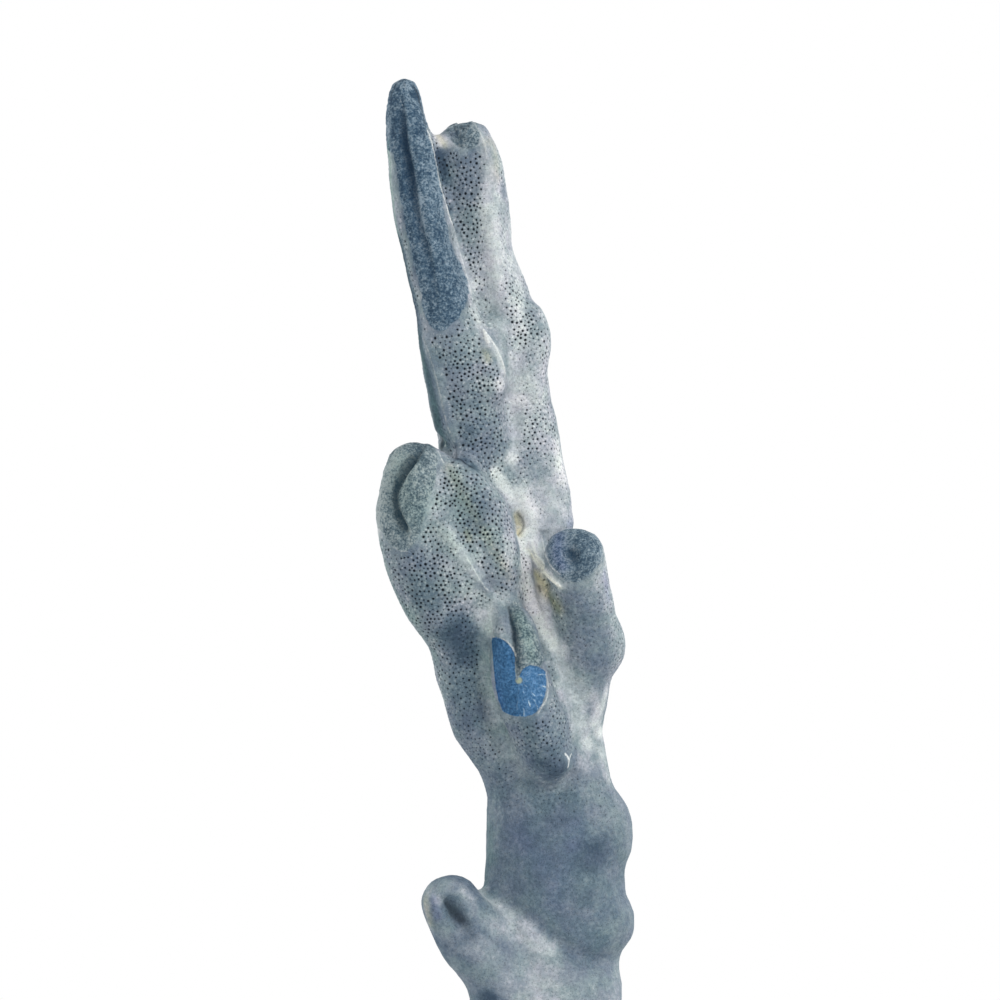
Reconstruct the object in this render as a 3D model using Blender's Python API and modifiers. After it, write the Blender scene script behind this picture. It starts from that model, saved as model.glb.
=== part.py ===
"""Blue ridge coral: one upright branch of blue coral, sawn off flat at its foot.

The coral grows as one skin. Each limb is a loft through its stations, each swelling an ellipsoid, and a voxel
remesh fuses them. The growing edges are then grooved, the foot is cut flat, and the branch is parted at its
main forks into the limbs that leave it. A saw kerf of FORK_GAP keeps neighbouring limbs apart.

Frame: X to the right, Y away from the front, Z up, origin in the middle of the flat cut at the foot.
A station is (x, y, z, half width, half depth) in millimetres. The half width lies across the limb in the
XZ plane, the half depth across it towards the back.
"""

import math

import bmesh
import bpy
from mathutils import Matrix, Vector
from mathutils.bvhtree import BVHTree

MM = 0.001
COLLECTION = "blue_ridge_coral"

# Driving dimensions, in millimetres.
FORK_GAP = 0.3
RING_SIDES = 14
DOME_ANGLES = (28, 54, 76)
GROWTH_VOXEL = 1.1
CARVED_VOXEL = 0.85
FILLET_PASSES = 5
SOFTEN_PASSES = 1
UNEVEN_SCALE = 11.0
UNEVEN_DEPTH = 1.3
SKIN_TRIANGLES = 7800
CUTTER_REACH = 60.0

# The limbs, each from its root to its tip.
STEM = [
    (0.5, 0.5, -8, 22, 19),
    (1.0, 0.5, 8, 19.5, 17.5),
    (3.0, 0.5, 28, 15.5, 15.5),
    (2.4, 0.5, 48, 18.0, 14.5),
    (2.2, 0.5, 62, 17.3, 14),
    (0.8, 0.5, 74, 15.8, 13.5),
    (-2.5, 0.5, 87, 16.5, 13),
    (-5.5, 1, 101, 17.0, 12.5),
    (-9.5, 2, 116, 15.5, 11.5),
    (-11.5, 3, 131, 14.0, 10.5),
    (-11.5, 3, 146, 14.0, 10),
    (-12.5, 3, 156, 12.5, 9.5),
]
TALL_BLADE = [
    (-13.5, 2, 140, 9.0, 8.5),
    (-16.5, 0.5, 153, 9.3, 9),
    (-18.5, -1, 163, 9.4, 9),
    (-20.9, -2, 175, 9.1, 9.5),
    (-23.7, -2.5, 187, 8.3, 9.5),
    (-26.6, -3, 197, 7.0, 9.5),
    (-29.4, -3, 208, 6.7, 9.5),
    (-32.1, -2.5, 222, 6.7, 9),
    (-34.0, -2, 233, 6.0, 8),
    (-35.0, -1.5, 241, 5.2, 6.5),
    (-35.3, -1, 247.0, 3.9, 4.5),
]
BACK_FINGER = [
    (-3.0, 4, 138, 11.0, 9),
    (-3.4, 4.5, 152, 9.0, 8.5),
    (-5.2, 5, 166, 7.6, 8.5),
    (-7.4, 5, 180, 7.8, 8.5),
    (-11.0, 5, 194, 8.0, 8),
    (-15.4, 5, 207, 7.6, 8),
    (-17.0, 4.5, 220, 8.2, 7.5),
    (-18.6, 3.6, 229, 8.0, 7.2),
    (-21.0, 2.2, 235.8, 7.4, 6.8),
]
FINGER_CREST = [
    (-3.0, -2, 172, 2.6, 2.6),
    (-5.6, -2.6, 184, 2.6, 2.6),
    (-9.6, -2.6, 196, 2.5, 2.6),
    (-12.8, -2.4, 208, 2.4, 2.6),
    (-13.4, -1.8, 221, 2.3, 2.4),
    (-14.8, -0.6, 234, 2.2, 2.2),
]
LOBE_OUTER = [
    (-14.0, -3, 100, 8.0, 8),
    (-20.8, -6, 110, 7.6, 8),
    (-27.3, -9, 120, 8.6, 8.5),
    (-31.7, -11, 131, 9.0, 9),
    (-33.2, -12, 142, 9.2, 9),
    (-31.8, -12, 151.8, 8.4, 8),
]
LOBE_INNER = [
    (-12.0, -5, 108, 7.0, 6),
    (-11.6, -9, 120, 6.6, 7),
    (-13.4, -11.5, 132, 7.4, 8),
    (-17.0, -12, 142, 7.6, 8),
    (-22.0, -11.5, 150, 6.6, 7),
]
FLANK_RIDGE = [
    (-11.4, -3, 79.5, 5.0, 8),
    (-17.4, -3.5, 89, 6.4, 8.5),
    (-19.9, -4, 99, 6.6, 8.5),
    (-20.8, -4, 109, 7.8, 8.5),
]
FRONT_LOBE = [
    (0.8, -11, 80, 7.0, 5.5),
    (-1.2, -13, 87, 7.6, 6.5),
    (-4.2, -14.5, 94, 7.4, 6.5),
    (-6.6, -15.5, 101, 7.3, 6.5),
    (-7.4, -15.5, 108, 6.4, 6),
    (-7.8, -15, 114, 5.4, 5),
]
RIGHT_FINGER = [
    (7.6, 0, 90, 7.0, 9),
    (9.5, -1.5, 99, 6.9, 9.5),
    (11.1, -4, 108, 8.1, 9.5),
    (9.9, -7, 117, 8.0, 9),
    (8.0, -9.8, 124.4, 7.8, 8.6),
    (7.3, -13, 129.8, 7.8, 8.2),
    (7.0, -16, 132.6, 7.6, 7.6),
]
LOWER_KNOB = [
    (-4.0, -4, 17, 10.0, 9),
    (-11.0, -7, 27, 9.6, 8.6),
    (-17.6, -9.5, 35.5, 8.8, 8.0),
    (-22.6, -11.5, 43.4, 7.9, 7.2),
    (-23.9, -12, 46.0, 7.4, 7.0),
]
BACK_RIDGE = [
    (8.0, 9, 58, 5.5, 6),
    (6.0, 12, 72, 5.5, 6),
    (1.0, 13, 86, 5.0, 6),
    (-5.0, 13, 98, 4.5, 5),
]
# Each limb with the rise of its domed ends, as a share of the end's thinner half size.
LIMBS = (
    (STEM, 1.0),
    (TALL_BLADE, 1.0),
    (BACK_FINGER, 0.5),
    (FINGER_CREST, 1.0),
    (LOBE_OUTER, 1.0),
    (LOBE_INNER, 1.0),
    (FLANK_RIDGE, 1.0),
    (FRONT_LOBE, 1.0),
    (RIGHT_FINGER, 0.45),
    (LOWER_KNOB, 0.9),
    (BACK_RIDGE, 1.0),
)

# Swellings: (x, y, z) of the middle, then the three half sizes.
SWELLINGS = [
    # The stem's right side, from the top down, and its foot.
    (12.8, 0, 62, 9.5, 11, 13),
    (13.2, -1, 40, 9.2, 11, 9.5),
    (10.7, -1, 22, 8.7, 12, 12),
    (-14.0, -6, 9, 10.0, 10, 12),
    # The shoulder between the lower knob and the stem, and the stem's front.
    (-17.2, -6.5, 41.8, 5.4, 6.5, 6.6),
    (3.0, -9, 52, 12, 6.5, 17),
    # The back finger's side, the right finger's elbow and the left lobe's face.
    (-3.4, 2, 184, 5.0, 7, 11.0),
    (14.8, -3, 109, 5.6, 7, 8),
    (-22.5, -11.5, 134, 11.5, 8.5, 19),
    (-14.5, -4, 178, 6.0, 8, 12),
    # The back.
    (-9.0, 9, 34, 9, 7, 12),
    (7.0, 9, 26, 9, 7, 10),
    (-6.0, 9, 64, 7, 6, 13),
    (-13.0, 10, 122, 7, 6, 14),
    (-23.0, 3, 186, 6.0, 6.5, 12),
    (-9.0, 10, 160, 6.5, 6, 12),
]

# The grooves and pits, as seen from the front: how far the line is sunk below the skin (negative: raised
# above it), then its points (x, z) with the groove's radius there.
GROOVES = [
    # Along the tall blade's edge.
    (
        0.1,
        [
            (-36.2, 244, 0.8),
            (-35.4, 238, 1.2),
            (-34.1, 231, 1.6),
            (-32.7, 222, 1.8),
            (-30.9, 212, 1.6),
            (-28.6, 203, 1.2),
            (-27.1, 195, 0.7),
        ],
    ),
    # Round the left lobe's shoulder.
    (
        0.2,
        [
            (-30.0, 156.8, 0.8),
            (-32.8, 154.6, 1.4),
            (-35.2, 151.6, 1.7),
            (-36.6, 147.4, 1.8),
            (-36.5, 143, 1.7),
            (-35.1, 138.8, 0.9),
        ],
    ),
    # Down the front lobe's head.
    (
        0.1,
        [
            (-10.2, 118.4, 0.8),
            (-9.3, 113.4, 1.2),
            (-8.0, 108.4, 1.4),
            (-7.2, 101, 1.0),
        ],
    ),
    # The pit in the right finger's blunt tip.
    (
        0.0,
        [
            (5.6, 132.4, 1.8),
            (6.4, 130.0, 1.6),
        ],
    ),
    # The slot in the lower knob's tip.
    (
        0.1,
        [
            (-23.6, 46.6, 1.1),
            (-22.0, 42.6, 1.8),
            (-19.8, 38.6, 1.3),
        ],
    ),
    # The crease between the lower branch, which carries the knob, and the stem's mass beside it.
    (
        -1.2,
        [
            (-10.5, 45.4, 1.8),
            (-3.8, 40.6, 2.6),
            (3.8, 34.4, 2.8),
            (10.0, 30.2, 2.8),
            (16.4, 30.2, 2.4),
        ],
    ),
    # The valley down the right of the left lobe.
    (
        -1.2,
        [
            (-9.6, 150.0, 1.8),
            (-5.8, 142.5, 2.6),
            (-4.2, 134.0, 2.6),
            (-2.8, 126.0, 2.0),
        ],
    ),
    # The dimple in the back finger's tip.
    (
        0.1,
        [
            (-21.6, 236.2, 1.2),
            (-20.2, 235.2, 1.2),
        ],
    ),
]

# Where each limb is parted from the branch: a point on the fork's plane, the way the limb leaves it, the
# cut's roll about that way in degrees, and its reach (level, upright, along the limb).
FORKS = {
    "crown": ((-9.0, 0.0, 151.0), (0.50, 0.0, 0.86), 0, (80, 190, 140)),
    "tall_blade": ((-17.3, 0.0, 190.0), (-0.92, -0.32, -0.20), 0, (90, 190, 60)),
    "right_finger": ((7.9, -13.2, 108.6), (0.84, -0.36, 0.39), 18, (27, 58, 40)),
    "front_lobe": ((-3.6, -8.8, 94.4), (-0.06, -0.96, 0.26), 12, (19, 46.6, 30)),
    "left_lobe": ((-22.0, -4.0, 134.5), (-0.46, -0.87, 0.16), 12, (38, 49, 40)),
    "lower_knob": ((-17.0, -9.0, 37.0), (-0.92, -0.36, 0.12), 0, (36, 32, 30)),
}

# Finish of each limb: colour and roughness.
GREY_BLUE = (0.30, 0.36, 0.41, 1.0)
PALE_GREY = (0.50, 0.54, 0.56, 1.0)
BLADE_BLUE = (0.14, 0.21, 0.28, 1.0)
CORAL_ROUGHNESS = 0.85


def clear_scene():
    for obj in list(bpy.data.objects):
        bpy.data.objects.remove(obj, do_unlink=True)


def new_collection(name):
    made = bpy.data.collections.new(name)
    bpy.context.scene.collection.children.link(made)
    return made


def link_mesh(name, mesh, collection):
    obj = bpy.data.objects.new(name, mesh)
    collection.objects.link(obj)
    return obj


def coral_material(name, colour):
    material = bpy.data.materials.new(name)
    material.use_nodes = True
    shader = material.node_tree.nodes["Principled BSDF"]
    shader.inputs["Base Color"].default_value = colour
    shader.inputs["Roughness"].default_value = CORAL_ROUGHNESS
    shader.inputs["Metallic"].default_value = 0.0
    material.diffuse_color = colour
    return material


def domed(stations, rise):
    """The stations with a rounded end added at either end."""
    start = dome(stations[1], stations[0], rise)
    end = dome(stations[-2], stations[-1], rise)
    return start[::-1] + list(stations) + end


def dome(inner, outer, rise):
    """Shrinking stations that round off the limb beyond its outer station."""
    way = (Vector(outer[:3]) - Vector(inner[:3])).normalized()
    width, depth = outer[3:]
    reach = min(width, depth) * rise
    rings = []
    for angle in map(math.radians, DOME_ANGLES):
        centre = Vector(outer[:3]) + way * reach * math.sin(angle)
        rings.append((*centre, width * math.cos(angle), depth * math.cos(angle)))
    return rings


def add_ring(bm, station, tangent):
    """One elliptical section square to the limb's run. Returns its edges."""
    width, depth = station[3:]
    side = Vector((tangent.z, 0.0, -tangent.x)).normalized()
    back = tangent.cross(side).normalized()
    place = Matrix((side * width, back * depth, tangent)).transposed().to_4x4()
    place.translation = Vector(station[:3])
    made = bmesh.ops.create_circle(bm, segments=RING_SIDES, radius=1.0, matrix=place)
    return list({edge for vert in made["verts"] for edge in vert.link_edges})


def add_limb(bm, stations, rise):
    """A closed loft through the stations."""
    rings = domed(stations, rise)
    centres = [Vector(ring[:3]) for ring in rings]
    loops = []
    for i, ring in enumerate(rings):
        before = centres[max(i - 1, 0)]
        after = centres[min(i + 1, len(rings) - 1)]
        loops.append(add_ring(bm, ring, (after - before).normalized()))
    for lower, upper in zip(loops, loops[1:]):
        bmesh.ops.bridge_loops(bm, edges=lower + upper)
    for end in (loops[0], loops[-1]):
        bmesh.ops.contextual_create(bm, geom=end)


def add_swelling(bm, swelling):
    place = Matrix.Translation(swelling[:3]) @ Matrix.Diagonal((*swelling[3:], 1.0))
    bmesh.ops.create_icosphere(bm, subdivisions=3, radius=1.0, matrix=place)


def finish_mesh(bm, name):
    """Turns the faces outwards, scales millimetres to metres and hands over the mesh."""
    bmesh.ops.recalc_face_normals(bm, faces=bm.faces)
    bmesh.ops.scale(bm, vec=(MM, MM, MM), verts=bm.verts)
    mesh = bpy.data.meshes.new(name)
    bm.to_mesh(mesh)
    bm.free()
    return mesh


def laid_on_skin(x, z, sink, skin):
    """The point of the skin seen from the front at (x, z), sunk into it along its normal."""
    start = Vector((x * MM, -CUTTER_REACH * MM, z * MM))
    hit, normal, _, _ = skin.ray_cast(start, Vector((0.0, 1.0, 0.0)))
    return hit - normal * sink * MM


def make_groove(sink, points, number, skin, cutters):
    """A round groove cutter along a smooth line on the skin, made a mesh with welded caps."""
    curve = bpy.data.curves.new(f"groove_{number}", "CURVE")
    curve.dimensions = "3D"
    curve.bevel_depth = MM
    curve.bevel_resolution = 2
    curve.use_fill_caps = True
    curve.resolution_u = 4
    spline = curve.splines.new("NURBS")
    spline.points.add(len(points) - 1)
    spline.use_endpoint_u = True
    spline.order_u = min(4, len(points))
    for point, (x, z, radius) in zip(spline.points, points):
        point.co = (*laid_on_skin(x, z, sink, skin), 1.0)
        point.radius = radius
    guide = bpy.data.objects.new(curve.name, curve)
    cutters.objects.link(guide)
    mesh = evaluated_mesh(guide, curve.name)
    bm = bmesh.new()
    bm.from_mesh(mesh)
    bmesh.ops.remove_doubles(bm, verts=bm.verts, dist=0.02 * MM)
    bmesh.ops.recalc_face_normals(bm, faces=bm.faces)
    bm.to_mesh(mesh)
    bm.free()
    bpy.data.objects.remove(guide)
    return as_helper(link_mesh(f"groove_cutter_{number}", mesh, cutters))


def make_box(name, place, size, cutters):
    """A cutter box. The place maps the unit cube's frame, and the size is in millimetres."""
    bm = bmesh.new()
    bmesh.ops.create_cube(bm, size=1.0, matrix=place @ Matrix.Diagonal((*size, 1.0)))
    return as_helper(link_mesh(name, finish_mesh(bm, name), cutters))


def as_helper(obj):
    obj.hide_render = True
    obj.display_type = "WIRE"
    return obj


def fork_box(name, grown, cutters):
    """The box beyond a fork's plane, moved back towards the stem by grown."""
    point, way, roll, (level, upright, along) = FORKS[name]
    forward = Vector(way).normalized()
    turn = Matrix.Rotation(math.radians(roll), 3, forward)
    side = turn @ forward.cross(Vector((0.0, 0.0, 1.0))).normalized()
    place = Matrix((side, forward.cross(side), forward)).transposed().to_4x4()
    place.translation = Vector(point) + forward * (along / 2 - grown)
    size = (level + 2 * grown, upright + 2 * grown, along)
    return make_box(f"{name}_cut_{grown:g}", place, size, cutters)


def add_boolean(obj, cutter, operation):
    modifier = obj.modifiers.new(f"{operation.lower()} {cutter.name}", "BOOLEAN")
    modifier.operation = operation
    modifier.solver = "EXACT"
    modifier.object = cutter


def add_remesh(obj, voxel):
    modifier = obj.modifiers.new("fuse", "REMESH")
    modifier.mode = "VOXEL"
    modifier.voxel_size = voxel * MM


def add_smooth(obj, passes):
    modifier = obj.modifiers.new("fillet", "SMOOTH")
    modifier.factor = 0.5
    modifier.iterations = passes


def add_unevenness(obj):
    clouds = bpy.data.textures.new("growth_unevenness", "CLOUDS")
    clouds.noise_scale = UNEVEN_SCALE * MM
    clouds.noise_depth = 1
    modifier = obj.modifiers.new("unevenness", "DISPLACE")
    modifier.texture = clouds
    modifier.texture_coords = "LOCAL"
    modifier.strength = UNEVEN_DEPTH * MM
    modifier.mid_level = 0.5


def evaluated_mesh(obj, name):
    bpy.context.view_layer.update()
    graph = bpy.context.evaluated_depsgraph_get()
    mesh = bpy.data.meshes.new_from_object(obj.evaluated_get(graph))
    mesh.name = name
    return mesh


def grow_skin(cutters):
    """The whole branch as one fused, carved and thinned skin, cut flat at the foot."""
    bm = bmesh.new()
    for stations, rise in LIMBS:
        add_limb(bm, stations, rise)
    for swelling in SWELLINGS:
        add_swelling(bm, swelling)
    growth = as_helper(link_mesh("growth", finish_mesh(bm, "growth"), cutters))
    add_remesh(growth, GROWTH_VOXEL)
    add_smooth(growth, FILLET_PASSES)
    add_unevenness(growth)

    fused = evaluated_mesh(growth, "fused")
    skin_tree = BVHTree.FromPolygons([v.co for v in fused.vertices], [p.vertices for p in fused.polygons])
    for number, (sink, points) in enumerate(GROOVES):
        cutter = make_groove(sink, points, number, skin_tree, cutters)
        add_boolean(growth, cutter, "DIFFERENCE")
    add_remesh(growth, CARVED_VOXEL)
    add_smooth(growth, SOFTEN_PASSES)

    carved = evaluated_mesh(growth, "carved")
    carved.calc_loop_triangles()
    skin = as_helper(link_mesh("skin", carved, cutters))
    thin = skin.modifiers.new("thin", "DECIMATE")
    thin.use_collapse_triangulate = True
    thin.ratio = SKIN_TRIANGLES / len(carved.loop_triangles)
    reach = CUTTER_REACH
    below = Matrix.Translation((0.0, 0.0, -reach / 2))
    foot = make_box("foot_cut", below, (2 * reach, 2 * reach, reach), cutters)
    add_boolean(skin, foot, "DIFFERENCE")
    return evaluated_mesh(skin, "branch")


def part_limbs(branch, parts, cutters):
    """Parts the branch at its forks. Each limb keeps what lies beyond its own plane."""
    exact = {name: fork_box(name, 0.0, cutters) for name in FORKS}
    kerf = {name: fork_box(name, FORK_GAP, cutters) for name in FORKS}
    finish = {
        "pale": coral_material("pale_coral", PALE_GREY),
        "grey": coral_material("grey_coral", GREY_BLUE),
        "blue": coral_material("blue_coral", BLADE_BLUE),
    }
    plan = {
        "stem": ("grey", [], ["crown", "left_lobe", "right_finger", "front_lobe", "lower_knob"]),
        "tall_blade": ("blue", ["crown", "tall_blade"], []),
        "back_finger": ("pale", ["crown"], ["tall_blade"]),
        "right_finger": ("grey", ["right_finger"], ["crown"]),
        "front_lobe": ("grey", ["front_lobe"], ["right_finger"]),
        "left_lobe": ("grey", ["left_lobe"], ["crown", "right_finger", "front_lobe"]),
        "lower_knob": ("pale", ["lower_knob"], []),
    }
    for name, (look, inside, outside) in plan.items():
        limb = link_mesh(name, branch.copy(), parts)
        limb.data.name = name
        limb.data.materials.clear()
        limb.data.materials.append(finish[look])
        for fork in inside:
            add_boolean(limb, exact[fork], "INTERSECT")
        for fork in outside:
            add_boolean(limb, kerf[fork], "DIFFERENCE")


def main():
    clear_scene()
    parts = new_collection(COLLECTION)
    cutters = new_collection("cutters")
    branch = grow_skin(cutters)
    part_limbs(branch, parts, cutters)
    for mesh_object in list(parts.objects):
        mesh_object.data.shade_smooth()


main()
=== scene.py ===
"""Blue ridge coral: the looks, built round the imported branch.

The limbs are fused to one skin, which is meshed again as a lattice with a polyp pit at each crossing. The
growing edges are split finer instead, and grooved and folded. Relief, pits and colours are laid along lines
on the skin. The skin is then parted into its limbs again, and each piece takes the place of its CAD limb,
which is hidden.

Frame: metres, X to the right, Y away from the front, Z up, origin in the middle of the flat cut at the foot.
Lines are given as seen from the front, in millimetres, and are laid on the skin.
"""

import math
import random

import bmesh
import bpy
import numpy as np
from mathutils import Euler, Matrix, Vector, noise
from mathutils.bvhtree import BVHTree


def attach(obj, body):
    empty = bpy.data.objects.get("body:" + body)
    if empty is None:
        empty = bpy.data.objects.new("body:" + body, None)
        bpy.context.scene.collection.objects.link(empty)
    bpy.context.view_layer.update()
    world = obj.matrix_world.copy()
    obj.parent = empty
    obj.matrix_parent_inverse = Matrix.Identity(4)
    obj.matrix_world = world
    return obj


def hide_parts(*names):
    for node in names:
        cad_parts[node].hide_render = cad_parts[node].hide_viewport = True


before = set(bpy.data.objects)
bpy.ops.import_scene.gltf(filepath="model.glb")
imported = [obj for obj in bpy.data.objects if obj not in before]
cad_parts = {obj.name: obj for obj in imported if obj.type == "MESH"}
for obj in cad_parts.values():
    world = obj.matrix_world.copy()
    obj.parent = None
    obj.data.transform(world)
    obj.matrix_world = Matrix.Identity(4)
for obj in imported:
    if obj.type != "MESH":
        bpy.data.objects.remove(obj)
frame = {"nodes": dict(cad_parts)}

MM = 0.001
BACKWARDS = Vector((0.0, 1.0, 0.0))
DOWN = (0.0, 0.0, -1.0)
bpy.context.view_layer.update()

# Lengths are in millimetres, except the camera's, the lamps' and the floor's.

# The skin: how far it is swollen to close the kerfs, and how it is meshed and eased.
CLOSING = 1.1
SKIN_PROUD = 0.1
SKIN_VOXEL = 0.65
SKIN_EASE = 6
FOOT_DROP = 3.0
WELD = 0.001

# The lattice: the size of its cells, how they lie and wander, and its finer cuts on the growing edges.
LATTICE_VOXEL = 1.46
LATTICE_TILT = (0.61, 0.42, 0.93)
LATTICE_JITTER = 0.45
LATTICE_ROUNDS = 5
LATTICE_SEED = 7
BORDER_ROUNDS = 4
FINE_CUTS = 3
CREST_BAND = 0.8

# The lines laid on the skin, and how far they and the growing edges' lips reach. Their points are cast on the
# skin from AHEAD in Y, and one that misses it goes to where the skin is nearest to BESIDE in Y.
AHEAD = -100.0
BESIDE = -5.0
LINE_STEP = 0.8
SPOT_LENGTH = 0.2
FAN_RADIUS = 4.0
FALLOFF_REACH = 3.0
OUTLINE_REACH = 3.0
LIP_REACH = 12.0

# The pits, the walls between them and the pale flecks on the walls.
PIT_RADIUS = 0.5
PIT_LEDGE = 0.10
PIT_DEPTH = 0.75
PIT_TAPER = 0.8
PIT_SIZES = (0.6, 1.2)
PIT_SEED = 11
PITS_MISSING = 0.02
FAINTEST_PIT = 0.16
LOWEST_PIT = 1.2
SEAM_PIT = 0.4
SHORTEST_WALL = 0.8
WALL_RISE = 0.09
FLECK_TONE = 0.42
FLECK_SEED = 5

# The skin's low lumps as (size, height), and the limbs' rims: how far they turn down into the branch.
LUMP_SIZES = ((5.5, 0.16), (2.1, 0.11))
RIM_SHARE = 0.45
RIM_START = 2.5
RIM_DEEPEST = 6.0

# The camera, the point that the lamps face and the floor, in metres.
CAMERA_PLACE = (-0.01125, -1.389, 0.145)
CAMERA_LENS = 200.0
LAMP_AIM = Vector((0.0, 0.0, 0.13))
FLOOR_RADIUS = 0.19
FLOOR_FADE = (0.06, 0.18)

# The fields kept on the skin's vertices for its finish, the tints with their colours, as stain and as
# painted shade, and the fields that only the making needs.
EDGE_FIELDS = ("growth", "slot", "run", "across", "blue", "broken", "crest")
STAINS_AND_SHADE = {"teal": (214, 240, 226), "warm": (248, 238, 196), "violet": (226, 228, 255)}
FIELDS = (*EDGE_FIELDS, *STAINS_AND_SHADE, "pit", "tone")
SCRATCH = ("skin_normal", "limb", "pit_size", "crossing", "fleck")

# The growing edges. The line of each is the foot of its right lip, as (x, z, how open the slot is). The walls
# are how far the slot's left and right walls reach, the folds are the spacing and height of the folds across
# the lips, soft is how softly the lips end, blue is how blue they are, and the outline (x, z) bounds them.
SLOTS = {
    "blade": {
        "line": [
            (-35.6, 244.6, 0.2), (-35.2, 241.0, 0.7), (-34.6, 234.4, 1.0), (-33.3, 228.0, 1.0),
            (-32.4, 222.4, 0.85), (-31.6, 216.8, 0.7), (-30.2, 210.8, 0.6), (-28.9, 206.8, 0.5),
            (-27.7, 200.4, 0.3), (-27.0, 195.0, 0.15), (-26.2, 189.5, 0.0),
        ],
        "depth": 1.4,
        "walls": (2.9, 0.4),
        "folds": (0.8, 0.1),
        "soft": 0.45,
        "blue": 1.0,
        "outline": [
            (-26.2, 186.9), (-28.9, 188.9), (-30.4, 192.0), (-31.2, 197.4), (-33.4, 206.8),
            (-35.4, 216.4), (-36.6, 223.2), (-38.0, 231.0), (-42.0, 236.0), (-41.0, 252.0),
            (-29.0, 252.0), (-28.6, 242.0), (-29.5, 237.2), (-27.6, 227.7), (-25.8, 219.2),
            (-23.4, 208.8), (-20.9, 202.3), (-19.3, 195.2), (-22.2, 189.5),
        ],
    },
    "lobe": {
        "line": [
            (-29.6, 159.0, 0.2), (-30.6, 157.4, 0.7), (-32.2, 154.8, 1.0), (-33.9, 152.5, 1.0),
            (-35.4, 150.0, 1.0), (-36.4, 147.8, 1.0), (-36.8, 145.6, 1.0), (-36.4, 143.0, 1.0),
            (-35.6, 140.6, 1.0), (-34.4, 138.2, 0.9), (-33.8, 136.6, 0.2),
        ],
        "depth": 1.8,
        "walls": (3.2, 0.45),
        "folds": (1.1, 0.12),
        "soft": 0.5,
        "blue": 0.15,
        "outline": [
            (-34.1, 132.5), (-37.4, 133.2), (-38.8, 134.8), (-40.4, 137.2), (-44.0, 141.0),
            (-43.0, 152.5), (-38.8, 161.4), (-31.2, 163.8), (-27.4, 159.6), (-27.0, 151.0),
            (-29.2, 144.0), (-31.0, 136.8),
        ],
    },
    "front": {
        "line": [
            (-9.0, 119.0, 0.3), (-8.9, 116.2, 1.0), (-8.2, 113.4, 1.0), (-8.0, 110.4, 1.0),
            (-7.8, 107.4, 0.9), (-7.6, 104.4, 0.8), (-7.3, 102.0, 0.4),
        ],
        "depth": 1.3,
        "walls": (1.6, 2.0),
        "folds": (1.2, 0.05),
        "soft": 0.6,
        "blue": 0.15,
        "outline": [
            (-9.4, 117.4), (-8.2, 120.0), (-6.4, 119.0), (-4.4, 115.8), (-2.6, 112.0), (-1.2, 108.4),
            (-0.6, 104.4), (-3.8, 104.2), (-7.2, 101.8), (-8.0, 108.8),
        ],
    },
    "finger": {
        "line": [(-21.5, 234.6, 0.5), (-21.4, 233.6, 0.4)],
        "depth": 0.5,
        "walls": (2.0, 2.0),
        "folds": (1.9, 0.5),
        "soft": 0.8,
        "blue": 0.35,
        "outline": [
            (-25.0, 238.0), (-26.0, 243.0), (-17.4, 244.0), (-16.6, 238.0), (-17.0, 233.8),
            (-20.0, 232.6), (-23.4, 234.6),
        ],
    },
    "right": {
        "line": [(5.6, 135.0, 0.3), (6.4, 132.4, 1.0), (7.0, 130.0, 0.7), (7.8, 127.6, 0.1)],
        "depth": 1.4,
        "walls": (2.0, 1.8),
        "folds": (1.9, 0.09),
        "soft": 1.3,
        "blue": 0.7,
        "outline": [
            (6.4, 141.0), (11.6, 139.4), (14.2, 133.0), (12.6, 127.6), (7.6, 124.6), (3.2, 126.2),
            (0.4, 131.6), (1.8, 138.6),
        ],
    },
}

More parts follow.
